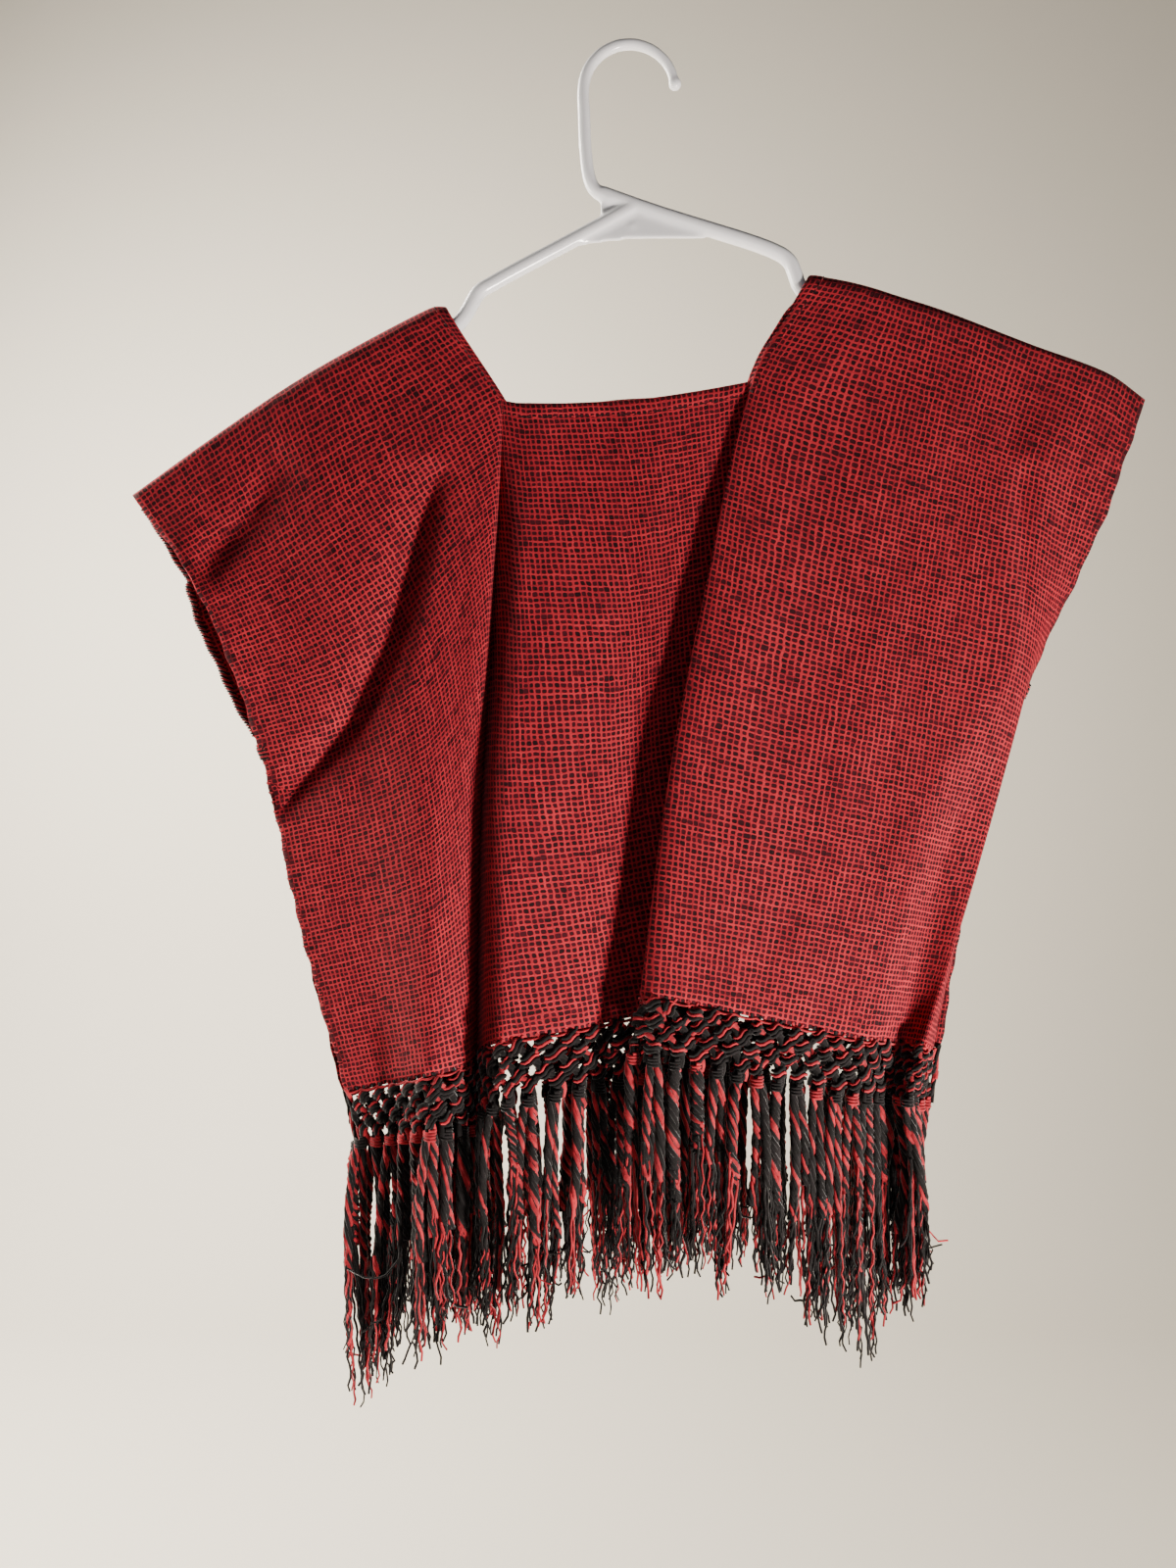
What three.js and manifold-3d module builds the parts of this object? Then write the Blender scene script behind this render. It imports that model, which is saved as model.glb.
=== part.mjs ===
// A small woven poncho with a knotted band and a twisted fringe, on a moulded plastic hanger.
// Millimetres, +Z up, the front faces -Y. The origin is the inner top of the hook, where it rests.
// The cloth is one woven rectangle folded over the hanger's arms, with a square slot for the neck.

import * as THREE from 'three';
import { mergeVertices } from 'three/addons/utils/BufferGeometryUtils.js';
import Module from 'manifold-3d';

const wasm = await Module();
wasm.setup();

// Driving sizes of the cloth, laid flat
const CLOTH_LENGTH = 410;
const NECK_DEPTH = 66;
const NECK_SIDES = [214, 358];
const ARMHOLE_LEVEL = 180;
const RIB_LEVEL = 295;
const WALL = 1.6;
const SEAM_GAP = 0.3;
const NUDGE = 0.05;

// Knotted band and fringe
const BAND_HEIGHT = 33;
const BAND_WALL = 2.6;
const BAND_PITCH = 15;
const BAND_ROWS = [0, 8, 14, 20, 26, BAND_HEIGHT];
const BAND_GAP_ROWS = [1, 3];
const BAND_GAP_SHARE = 0.44;
const STRIP_HEIGHT = 5;
const ROOT_SHARE = 0.65;
const BAND_GAP = 0.5;
const STRIP_WALL = 2;
const TASSEL_PITCH = 12;
const TASSEL_THICK = 4.2;
const TASSEL_TIP_SHARE = 0.62;
const TASSEL_CLEARANCE = 6.2;
const TASSEL_STEPS = 3;
const TASSEL_UNEVEN = 14;
const TASSEL_LEAN = 1.2;

// Hanger
const TUBE_RADIUS = 4.5;
const TUBE_SIDES = 8;
const HOOK_RADIUS = 27;
const HOOK_TOP_RADIUS = 2.9;
const HOOK_POST_RADIUS = 4.2;
const HOOK_BALL_RADIUS = 3.9;
const HOOK_ARC_STEPS = 8;
const HOOK_STEPS = 22;
const ARM_STEPS = 30;
const WEB_THICK = 2.4;

// The folds are placed as they look from 690 mm in front of the hanger, level with the chest.
const EYE = { x: -22, z: -431, distance: 690 };

// Radius of the shoulder fold over the hanger's tube, and past the tube's ends
const FOLD_RADIUS = TUBE_RADIUS + SEAM_GAP + WALL / 2;
const TIP_FOLD_RADIUS = 3;
const HANGER_SPAN = [95, 470];
const TIP_FADE = 40;

// The shoulder line, from the left sleeve tip to the right one: u across the flat cloth, x and z
const SHOULDER = table(['u', 'x', 'z'], [
  [0, -289, -262],
  [30, -263.5, -243.5],
  [110, -194.5, -196],
  [164, -148.5, -169],
  [197, -119.5, -151.5],
  [214, -105, -152],
  [358, 107.5, -133.5],
  [378, 128, -136],
  [400, 147, -140],
  [464, 208, -163.5],
  [528, 270.5, -185.5],
  [550, 290.5, -194.5],
  [570, 304.5, -206],
]);

// Fold lines of the front, left to right. u is the place across the flat cloth at the neck and at
// the hem, x, z and y are the seen place and the depth at the levels neck, armhole, rib and hem,
// and cells is the number of wall cells up to the next fold.
const FOLD_COLUMNS = ['name', 'cells', 'uTop', 'uHem', 'xNeck', 'xArm', 'xRib', 'xHem', 'zNeck',
  'zHem', 'yNeck', 'yArm', 'yRib', 'yHem'];

const FRONT_FOLDS = table(FOLD_COLUMNS, [
  ['left edge', 3, 0, 0, -252, -214.5, -191.5, -164, -316, -611, -10, -1, -1, -1],
  ['left trough', 4, 60, 30, -208, -168.5, -157.5, -141.5, -292, -607, -12, -10, -8, -7],
  ['left ridge', 3, 120, 68, -159, -122.5, -115, -114, -260.5, -602, -13, -18, -24, -26],
  ['left lip', 2, 206, 96, -74, -78, -89, -92, -208.5, -595.5, -9, -12, -9, -8],
  ['left valley', 2, 210, 126, -72.5, -75.5, -85, -87, -208.5, -590.5, -8, -6, 3, 5],
  ['middle lip', 2, 214, 156, -70, -72.5, -80, -81, -209, -585, -8, -12, -13, -14],
  ['middle crest', 3, 228, 174, -56.5, -56.5, -62, -65.5, -211, -582, -9, -16, -22, -25],
  ['middle', 3, 286, 210, 1, -3.5, -19.5, -27.5, -209, -574.5, -9, -14, -18, -20],
  ['under the lip', 2, 358, 243, 72.5, 45, 22, 7, -197.5, -567, -8, -10, -10, -10],
  ['hidden turn', 1, 360, 292, 73, 65.5, 61.5, 60, -196, -560.5, -7, -6, -6, -6],
  ['hidden return', 2, 361, 304, 73.5, 66, 62, 59, -196, -559.5, -8, -12, -15, -15],
  ['right lip', 1, 363, 347, 75, 48.5, 25, 9, -195.5, -555, -9, -20, -25, -27],
  ['right crest', 4, 372, 357, 83, 56.5, 33.5, 19.5, -198, -556.5, -10, -22, -29, -32],
  ['right middle', 3, 430, 437, 157, 137.5, 122, 101, -222, -573, -11, -16, -21, -24],
  ['right shelf', 2, 500, 481, 222.5, 198.5, 172, 143, -243, -581, -12, -16, -18, -19],
  ['right trough', 2, 524, 512, 245, 226, 188.5, 161, -251.5, -582, -12, -14, -4, 2],
  ['right ridge', 2, 545, 540, 262.5, 236, 207, 175, -260.5, -584, -10, -3, -4, -9],
  ['right edge', 0, 570, 566, 283, 235, 203.5, 179.5, -269.5, -587, -7, 8, 8, 6],
]);

const BACK_FOLDS = table(FOLD_COLUMNS, [
  ['left edge', 3, 0, 0, -259.5, -214.5, -192, -166, -312, -613, 9, 0.9, 0.9, 0.9],
  ['left shelf', 4, 60, 36, -210.5, -170, -157, -138, -289, -608, 12, 13, 12, 10],
  ['left crest', 3, 130, 84, -146, -119.5, -114, -107, -254, -599, 13, 18, 24, 27],
  ['left lip', 1, 205, 116, -75, -73, -77, -83, -207, -592, 10, 19, 26, 29],
  ['lip turn', 2, 208, 128, -73.5, -73, -76.5, -82, -207, -591, 9.5, 15, 20, 22],
  ['hidden return', 1, 211, 156, -72.5, -85, -99, -107, -207, -590, 9, 12.5, 16, 17],
  ['hidden turn', 4, 214, 164, -71.5, -85.5, -99.5, -107.5, -207.5, -589, 8, 8, 9, 10],
  ['middle', 3, 250, 226, -34.5, -41.5, -49.5, -53.5, -207.5, -581, 9, 12, 14, 15],
  ['middle crest', 2, 320, 282, 35.5, 19.5, 7, -1, -202.5, -570.5, 9, 18, 24, 27],
  ['middle lip', 2, 358, 322, 72.5, 57.5, 37, 30, -196, -563.5, 9, 19, 25, 26],
  ['right valley', 2, 361, 344, 73.5, 63, 45, 37, -196, -562.5, 8, 9, 11, 12],
  ['right lip', 4, 364, 366, 75.5, 69, 53, 44, -195.5, -561, 10, 19, 24, 25],
  ['right middle', 4, 430, 432, 157, 141.5, 119.5, 93, -222, -571.5, 12, 14, 15, 16],
  ['right crest', 3, 495, 486, 218.5, 194, 165, 139, -242, -581, 12, 18, 25, 28],
  ['right trough', 2, 540, 536, 259, 222, 191, 168, -259, -585.5, 11, 14, 15, 14],
  ['right edge', 0, 570, 570, 283, 235, 206, 188, -269.5, -588, 9, 9.9, 10, 10],
]);

// Creases pulled across the cloth: from (u0, v0) to (u1, v1) on the flat cloth, bowed aside, as deep
// as depth (a ridge where it is negative), with a width on each side at either end.
const CREASE_COLUMNS = ['name', 'u0', 'v0', 'u1', 'v1', 'bow', 'depth', 'upper0', 'upper1', 'lower0',
  'lower1'];

const FRONT_CREASES = table(CREASE_COLUMNS, [
  ['armhole drag', 178, 85, 6, 214, 8, 10, 26, 4, 4, 18],
  ['sleeve trough', 92, 34, 2, 60, 0, 5, 14, 10, 14, 12],
  ['right step', 532, 190, 508, 66, 0, 6, 22, 16, 4, 4],
]);

const BACK_CREASES = table(CREASE_COLUMNS, [
  ['armhole drag', 430, 100, 566, 206, -8, -8, 22, 5, 5, 16],
  ['sleeve trough', 84, 40, 4, 70, 0, -5, 14, 10, 14, 12],
  ['shoulder trough', 470, 30, 560, 90, 6, -4, 14, 10, 14, 10],
]);

// How far down the longest tassels reach, across the width
const TASSEL_ENDS = table(['x', 'z'], [
  [-166, -800],
  [-150, -795],
  [-135, -768],
  [-100, -755],
  [-50, -742],
  [-15, -738],
  [25, -716],
  [80, -724],
  [110, -742],
  [135, -768],
  [155, -742],
  [184, -732],
]);

// Centre lines of the hanger's tubes and the outline of its web, x and z
const HOOK_CENTRE = [2.3, -24.1];
const HOOK_ARC = [8, 180];
const POST_LINE = [[-24.4, -36], [-22.4, -69], [-21, -76], [-18.2, -82], [-14.5, -85], [-11.5, -86]];
const RIGHT_ARM_LINE = [[-11.1, -86.1], [10, -93.1], [91, -120.2], [96.5, -125], [99.5, -132],
  [102.5, -139.5], [109, -145], [118, -147.2], [128, -148], [205, -173.4], [214, -178],
  [218, -185.5], [217, -193.5], [213.5, -198.5], [210, -200.4], [207, -200.7]];
const LEFT_ARM_LINE = [[-3.5, -97.2], [-20, -106.1], [-79, -138], [-86, -142.5], [-90.5, -150],
  [-95, -157.5], [-101, -163.5], [-109, -166.5], [-121, -169], [-188, -202], [-197, -208.5],
  [-200.5, -216.3], [-198.5, -221.6], [-194.5, -224.2], [-191, -224.3], [-188, -224]];
const BAR_LINE = [[-187.7, -224], [206.7, -200.7]];
const WEB_OUTLINE = [[-26, -114.8], [6.7, -97.6], [45, -110.4], [26, -110.8], [1, -111.2],
  [-14, -112.9]];

// Tables are written as rows with named columns.
function table(columns, rows) {
  const entry = (row) => columns.map((column, index) => [column, row[index]]);
  return rows.map((row) => Object.fromEntries(entry(row)));
}

// A smooth line through values at the given stops that never swings past them
function glide(stops, values, at) {
  const last = stops.length - 1;
  const slopes = [];
  for (let k = 0; k < last; k += 1) {
    slopes.push((values[k + 1] - values[k]) / (stops[k + 1] - stops[k]));
  }
  if (at >= stops[last]) return values[last] + slopes[last - 1] * (at - stops[last]);
  const tangents = values.map((value, k) => {
    if (k === 0) return slopes[0];
    if (k === last) return slopes[last - 1];
    if (slopes[k - 1] * slopes[k] <= 0) return 0;
    const before = stops[k] - stops[k - 1];
    const after = stops[k + 1] - stops[k];
    const w0 = 2 * after + before;
    const w1 = after + 2 * before;
    return (w0 + w1) / (w0 / slopes[k - 1] + w1 / slopes[k]);
  });
  let k = 0;
  while (k < last - 1 && at > stops[k + 1]) k += 1;
  const span = stops[k + 1] - stops[k];
  const t = Math.max(0, (at - stops[k]) / span);
  const rise = (1 + 2 * t) * (1 - t) * (1 - t) * values[k] + t * t * (3 - 2 * t) * values[k + 1];
  const lean = t * (1 - t) * (1 - t) * tangents[k] - t * t * (1 - t) * tangents[k + 1];
  return rise + span * lean;
}

function clamp(value, low, high) {
  return Math.min(high, Math.max(low, value));
}

// The depth that the pulled creases add at a place on the flat cloth
function creaseDepth(creases, u, v) {
  let depth = 0;
  for (const crease of creases) {
    const du = crease.u1 - crease.u0;
    const dv = crease.v1 - crease.v0;
    const length = Math.hypot(du, dv);
    const t = ((u - crease.u0) * du + (v - crease.v0) * dv) / (length * length);
    if (t <= 0 || t >= 1) continue;
    const bow = crease.bow * 4 * t * (1 - t);
    const aside = ((u - crease.u0) * dv - (v - crease.v0) * du) / length + bow;
    const upper = crease.upper0 + (crease.upper1 - crease.upper0) * t;
    const lower = crease.lower0 + (crease.lower1 - crease.lower0) * t;
    const width = aside > 0 ? lower : upper;
    const swell = Math.sqrt(Math.sin(Math.PI * t));
    depth += crease.depth * swell * Math.exp(-((Math.abs(aside) / width) ** 1.5));
  }
  return depth;
}

// One half of the draped cloth. place(c, v) is the middle of the wall at fold coordinate c, from 0
// at the left edge, and at v mm down from the shoulder fold, or past the hem where v is larger.
function drape(folds, creases, side) {
  const stops = folds.map((fold) => fold.uHem);
  const levels = [0, NECK_DEPTH, ARMHOLE_LEVEL, RIB_LEVEL, CLOTH_LENGTH];
  const zLevels = [0, NECK_DEPTH, CLOTH_LENGTH];
  const shoulderU = SHOULDER.map((row) => row.u);
  const shoulderX = SHOULDER.map((row) => row.x);
  const shoulderZ = SHOULDER.map((row) => row.z);

  function stopAt(c) {
    const k = Math.min(Math.floor(c), folds.length - 2);
    return stops[k] + (c - k) * (stops[k + 1] - stops[k]);
  }

  function flatAt(c, v) {
    const share = clamp((v - NECK_DEPTH) / (CLOTH_LENGTH - NECK_DEPTH), 0, 1);
    return glide(stops, folds.map((fold) => fold.uTop + (fold.uHem - fold.uTop) * share), stopAt(c));
  }

  function foldRadius(u) {
    const past = Math.max(HANGER_SPAN[0] - u, u - HANGER_SPAN[1], 0);
    const share = clamp(past / TIP_FADE, 0, 1);
    return FOLD_RADIUS + (TIP_FOLD_RADIUS - FOLD_RADIUS) * share;
  }

  function place(c, v) {
    const u = flatAt(c, v);
    const radius = foldRadius(u);
    const quarter = (Math.PI / 2) * radius;
    const turn = Math.min(v / radius, Math.PI / 2);
    const hung = radius + (v - quarter) * (CLOTH_LENGTH - radius) / (CLOTH_LENGTH - quarter);
    const drop = v < quarter ? radius * (1 - Math.cos(turn)) : hung;
    const columns = folds.map((fold) => {
      const topX = glide(shoulderU, shoulderX, fold.uTop);
      const topZ = glide(shoulderU, shoulderZ, fold.uTop);
      const topY = side * foldRadius(fold.uTop);
      return {
        x: glide(levels, [topX, fold.xNeck, fold.xArm, fold.xRib, fold.xHem], drop),
        y: glide(levels, [topY, fold.yNeck, fold.yArm, fold.yRib, fold.yHem], drop),
        z: glide(zLevels, [topZ, fold.zNeck, fold.zHem], drop),
      };
    });
    const stop = stopAt(c);
    const x = glide(stops, columns.map((column) => column.x), stop);
    const z = glide(stops, columns.map((column) => column.z), stop);
    const crease = creaseDepth(creases, u, v);
    const y = (glide(stops, columns.map((column) => column.y), stop) + crease) * Math.sin(turn);
    return side < 0 ? seen(x, y, z) : new THREE.Vector3(x, y, z);
  }

  // The fold coordinate of a place across the hem
  function foldAtHem(u) {
    let low = 0;
    let high = folds.length - 1;
    for (let pass = 0; pass < 30; pass += 1) {
      const middle = (low + high) / 2;
      if (flatAt(middle, CLOTH_LENGTH) < u) low = middle;
      else high = middle;
    }
    return (low + high) / 2;
  }

  // The wall's own columns, a few between each pair of folds
  const columns = folds.flatMap((fold, k) => {
    const steps = Array.from({ length: fold.cells }, (_, step) => step / fold.cells);
    return steps.map((step) => k + step);
  });
  columns.push(folds.length - 1);

  function facing(c, v) {
    const c0 = Math.max(0, c - NUDGE);
    const c1 = Math.min(folds.length - 1, c + NUDGE);
    const across = place(c1, v).sub(place(c0, v));
    const down = place(c, v + NUDGE).sub(place(c, Math.max(0, v - NUDGE)));
    const normal = across.cross(down);
    if (v === 0) normal.y = 0;
    return normal.normalize();
  }

  // A point of a wall, kept on the flat facets between the columns so that all pieces match
  function point(c, v, lift) {
    const after = Math.max(1, columns.findIndex((column) => column >= c));
    const share = (c - columns[after - 1]) / (columns[after] - columns[after - 1]);
    const [start, end] = [columns[after - 1], columns[after]].map((column) => {
      const at = place(column, v);
      if (v === 0) at.y += side * SEAM_GAP / 2;
      return at.addScaledVector(facing(column, v), lift);
    });
    return start.lerp(end, share);
  }

  return { folds, columns, flatAt, point, foldAtHem };
}

// Slides a point at depth y along the line of sight, so that the front keeps its seen outline.
function seen(x, y, z) {
  const scale = (EYE.distance + y) / EYE.distance;
  return new THREE.Vector3(EYE.x + (x - EYE.x) * scale, y, EYE.z + (z - EYE.z) * scale);
}

// A wall over a grid of places, closed round every edge and every cell that is left out
function wall(half, columns, rows, thickness, keep) {
  const positions = [];
  const [outer, inner] = [thickness / 2, -thickness / 2].map((lift) => (
    columns.map((c) => rows.map((v) => half.point(c, v, lift)))));
  const quad = (a, b, c, d) => {
    for (const corner of [a, b, c, a, c, d]) positions.push(corner.x, corner.y, corner.z);
  };
  const kept = (i, j) => i >= 0 && j >= 0 && i < columns.length - 1 && j < rows.length - 1
    && keep(i, j);
  for (let i = 0; i < columns.length - 1; i += 1) {
    for (let j = 0; j < rows.length - 1; j += 1) {
      if (!kept(i, j)) continue;
      quad(outer[i][j], outer[i + 1][j], outer[i + 1][j + 1], outer[i][j + 1]);
      quad(inner[i][j], inner[i][j + 1], inner[i + 1][j + 1], inner[i + 1][j]);
      if (!kept(i - 1, j)) quad(outer[i][j], outer[i][j + 1], inner[i][j + 1], inner[i][j]);
      if (!kept(i + 1, j)) {
        quad(outer[i + 1][j + 1], outer[i + 1][j], inner[i + 1][j], inner[i + 1][j + 1]);
      }
      if (!kept(i, j - 1)) quad(outer[i + 1][j], outer[i][j], inner[i][j], inner[i + 1][j]);
      if (!kept(i, j + 1)) {
        quad(outer[i][j + 1], outer[i + 1][j + 1], inner[i + 1][j + 1], inner[i][j + 1]);
      }
    }
  }
  return solid(positions);
}

// Triangles as a closed body whose faces point out, whichever way they were wound
function solid(positions) {
  const geometry = new THREE.BufferGeometry();
  geometry.setAttribute('position', new THREE.Float32BufferAttribute(positions, 3));
  const merged = mergeVertices(geometry, 1e-3);
  let volume = 0;
  const a = new THREE.Vector3();
  const b = new THREE.Vector3();
  const c = new THREE.Vector3();
  const index = merged.getIndex();
  for (let t = 0; t < index.count; t += 3) {
    a.fromBufferAttribute(merged.attributes.position, index.getX(t));
    b.fromBufferAttribute(merged.attributes.position, index.getX(t + 1));
    c.fromBufferAttribute(merged.attributes.position, index.getX(t + 2));
    volume += a.dot(b.cross(c));
  }
  if (volume < 0) {
    for (let t = 0; t < index.count; t += 3) {
      const swap = index.getX(t + 1);
      index.setX(t + 1, index.getX(t + 2));
      index.setX(t + 2, swap);
    }
  }
  return merged;
}

// Joins closed geometries into one body.
function toManifold(geometry) {
  const bare = geometry.clone();
  bare.deleteAttribute('normal');
  bare.deleteAttribute('uv');
  const merged = mergeVertices(bare, 1e-4);
  const mesh = new wasm.Mesh({
    numProp: 3,
    vertProperties: new Float32Array(merged.attributes.position.array),
    triVerts: new Uint32Array(merged.getIndex().array),
  });
  return new wasm.Manifold(mesh);
}

function toGeometry(manifold) {
  const mesh = manifold.getMesh();
  const geometry = new THREE.BufferGeometry();
  geometry.setAttribute('position', new THREE.BufferAttribute(mesh.vertProperties, 3));
  geometry.setIndex(new THREE.BufferAttribute(mesh.triVerts, 1));
  return geometry;
}

function join(geometries) {
  const [first, ...others] = geometries.map(toManifold);
  return toGeometry(others.reduce((whole, piece) => whole.add(piece), first));
}

// A closed tube along a line, whose radius goes from start to end
function tube(curve, steps, sides, startRadius, endRadius) {
  const section = new THREE.Shape();
  for (let k = 0; k < sides; k += 1) {
    const angle = (2 * Math.PI * (k + 0.5)) / sides;
    const corner = [Math.cos(angle) * startRadius, Math.sin(angle) * startRadius];
    if (k === 0) section.moveTo(...corner);
    else section.lineTo(...corner);
  }
  section.closePath();
  const options = { steps, extrudePath: curve, bevelEnabled: false };
  const geometry = new THREE.ExtrudeGeometry(section, options);
  if (startRadius === endRadius) return geometry;
  const centres = curve.getSpacedPoints(steps);
  const position = geometry.attributes.position;
  const at = new THREE.Vector3();
  for (let k = 0; k < position.count; k += 1) {
    at.fromBufferAttribute(position, k);
    const distances = centres.map((centre) => centre.distanceTo(at));
    const ring = distances.indexOf(Math.min(...distances));
    const radius = startRadius + (endRadius - startRadius) * (ring / steps);
    at.sub(centres[ring]).multiplyScalar(radius / startRadius).add(centres[ring]);
    position.setXYZ(k, at.x, at.y, at.z);
  }
  return geometry;
}

// The woven panels, cut away for the neck slot
function clothPanel(half) {
  const neckColumns = NECK_SIDES.map((u) => (
    half.columns.indexOf(half.folds.findIndex((fold) => fold.uTop === u))));
  const rows = [0, 3, 6, 10, 32, NECK_DEPTH, 92, 120, 150, ARMHOLE_LEVEL, 216, 254, RIB_LEVEL, 334,
    372, CLOTH_LENGTH];
  const neckRow = rows.indexOf(NECK_DEPTH);
  const inSlot = (i, j) => j < neckRow && i >= neckColumns[0] && i < neckColumns[1];
  return wall(half, half.columns, rows, WALL, (i, j) => !inSlot(i, j));
}

// The net of doubled yarn under the hem: two staggered rows of open meshes
function knottedBand(half) {
  const columns = [];
  const openRow = [];
  half.columns.slice(1).forEach((end, k) => {
    const start = half.columns[k];
    const width = half.flatAt(end, CLOTH_LENGTH) - half.flatAt(start, CLOTH_LENGTH);
    const meshes = Math.round(width / BAND_PITCH);
    for (let mesh = 0; mesh < meshes; mesh += 1) {
      columns.push(start + ((end - start) * mesh) / meshes);
      columns.push(start + ((end - start) * (mesh + BAND_GAP_SHARE)) / meshes);
      openRow.push(...BAND_GAP_ROWS);
    }
    if (meshes === 0) {
      columns.push(start);
      openRow.push(-1);
    }
  });
  columns.push(half.columns.at(-1));
  openRow[0] = -1;
  openRow[openRow.length - 1] = -1;
  const rows = BAND_ROWS.map((row) => CLOTH_LENGTH + BAND_GAP + row);
  return wall(half, columns, rows, BAND_WALL, (i, j) => openRow[i] !== j);
}

// Tassels hanging from a narrow strip, each a four-sided lock that thins to its frayed end
function fringe(half, sway) {
  const width = half.folds.at(-1).uHem;
  const top = CLOTH_LENGTH + BAND_HEIGHT + 2 * BAND_GAP;
  const strip = wall(half, half.columns, [top, top + STRIP_HEIGHT], STRIP_WALL, () => true);
  const roots = [];
  const pieces = [strip];
  const endX = TASSEL_ENDS.map((row) => row.x);
  const endZ = TASSEL_ENDS.map((row) => row.z);
  const count = Math.floor(width / TASSEL_PITCH);
  for (let k = 0; k < count; k += 1) {
    const u = (width * (k + 0.5)) / count;
    const root = half.point(half.foldAtHem(u), top + STRIP_HEIGHT * ROOT_SHARE, 0);
    const apart = (other) => Math.hypot(other.x - root.x, other.y - root.y) > TASSEL_CLEARANCE;
    if (!roots.every(apart)) continue;
    roots.push(root);
    const shorter = TASSEL_UNEVEN * (0.5 + 0.5 * Math.sin(2.3 * k + sway));
    const end = glide(endX, endZ, clamp(root.x, endX[0], endX.at(-1))) + shorter;
    const lean = TASSEL_LEAN * Math.sin(1.7 * k + sway);
    const path = new THREE.CatmullRomCurve3([
      root,
      new THREE.Vector3(root.x + lean / 2, root.y, (2 * root.z + end) / 3),
      new THREE.Vector3(root.x + lean, root.y, end),
    ]);
    const radius = TASSEL_THICK / Math.SQRT2;
    pieces.push(tube(path, TASSEL_STEPS, 4, radius, radius * TASSEL_TIP_SHARE));
  }
  return join(pieces);
}

// A round rod of the hanger along a line in the plane of the hanger
function rod(line, steps, startRadius, endRadius) {
  const points = line.map(([x, z]) => new THREE.Vector3(x, 0, z));
  const curve = new THREE.CatmullRomCurve3(points, false, 'centripetal');
  return tube(curve, steps, TUBE_SIDES, startRadius, endRadius);
}

// The hook: a small ball, then a bend round the rest, then the post, thicker downwards
function hook() {
  const line = [];
  const [from, to] = HOOK_ARC;
  for (let k = 0; k <= HOOK_ARC_STEPS; k += 1) {
    const angle = THREE.MathUtils.degToRad(from + ((to - from) * k) / HOOK_ARC_STEPS);
    line.push([HOOK_CENTRE[0] + HOOK_RADIUS * Math.cos(angle),
      HOOK_CENTRE[1] + HOOK_RADIUS * Math.sin(angle)]);
  }
  const bent = rod([...line, ...POST_LINE], HOOK_STEPS, HOOK_TOP_RADIUS, HOOK_POST_RADIUS);
  const ball = new THREE.SphereGeometry(HOOK_BALL_RADIUS, 10, 6);
  ball.translate(line[0][0], 0, line[0][1]);
  return join([bent, ball]);
}

// The thin web between the arms
function web() {
  const outline = new THREE.Shape(WEB_OUTLINE.map(([x, z]) => new THREE.Vector2(x, z)));
  const plate = new THREE.ExtrudeGeometry(outline, { depth: WEB_THICK, bevelEnabled: false });
  plate.rotateX(Math.PI / 2);
  plate.translate(0, WEB_THICK / 2, 0);
  return plate;
}

const front = drape(FRONT_FOLDS, FRONT_CREASES, -1);
const back = drape(BACK_FOLDS, BACK_CREASES, 1);
const red = { color: 0xa3242f, roughness: 0.9 };
const redAndBlack = { color: 0x5c1a22, roughness: 0.9 };
const whitePlastic = { color: 0xe6e6e8, roughness: 0.3 };
const part = new THREE.Group();

function add(name, geometry, finish) {
  const material = new THREE.MeshStandardMaterial({ ...finish, metalness: 0 });
  const mesh = new THREE.Mesh(geometry, material);
  mesh.name = name;
  part.add(mesh);
}

add('cloth_front', clothPanel(front), red);
add('cloth_back', clothPanel(back), red);
add('knotted_band_front', knottedBand(front), redAndBlack);
add('knotted_band_back', knottedBand(back), redAndBlack);
add('fringe_front', fringe(front, 0), redAndBlack);
add('fringe_back', fringe(back, 2), redAndBlack);
add('hanger_hook', hook(), whitePlastic);
add('hanger_right_arm', rod(RIGHT_ARM_LINE, ARM_STEPS, TUBE_RADIUS, TUBE_RADIUS), whitePlastic);
add('hanger_left_arm', rod(LEFT_ARM_LINE, ARM_STEPS, TUBE_RADIUS, TUBE_RADIUS), whitePlastic);
add('hanger_bar', rod(BAR_LINE, 1, TUBE_RADIUS, TUBE_RADIUS), whitePlastic);
add('hanger_web', web(), whitePlastic);

export default part;
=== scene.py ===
import math

import bmesh
import bpy
import numpy as np
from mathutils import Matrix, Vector


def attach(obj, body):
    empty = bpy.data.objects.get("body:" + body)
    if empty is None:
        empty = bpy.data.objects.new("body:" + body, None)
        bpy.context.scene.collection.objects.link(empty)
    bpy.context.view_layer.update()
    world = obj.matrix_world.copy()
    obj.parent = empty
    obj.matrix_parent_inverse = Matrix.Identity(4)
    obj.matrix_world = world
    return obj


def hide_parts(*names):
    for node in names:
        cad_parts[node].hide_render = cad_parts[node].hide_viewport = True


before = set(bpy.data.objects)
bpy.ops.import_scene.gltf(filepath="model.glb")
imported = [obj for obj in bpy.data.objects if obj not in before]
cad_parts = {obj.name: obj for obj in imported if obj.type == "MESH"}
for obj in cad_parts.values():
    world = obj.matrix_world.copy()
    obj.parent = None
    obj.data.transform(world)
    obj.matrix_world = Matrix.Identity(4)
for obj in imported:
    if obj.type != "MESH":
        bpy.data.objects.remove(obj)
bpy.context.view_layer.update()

# The camera stands 690 mm in front of the hanger, level with the chest, and looks straight ahead.
# Lengths are written in millimetres and turned to metres where they reach Blender.
MM = 0.001
PHOTO_HEIGHT_PX = 1600
MM_PER_PX = 0.575
EYE_X, EYE_Z, EYE_DISTANCE = -22.0, -431.0, 690.0

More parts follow.
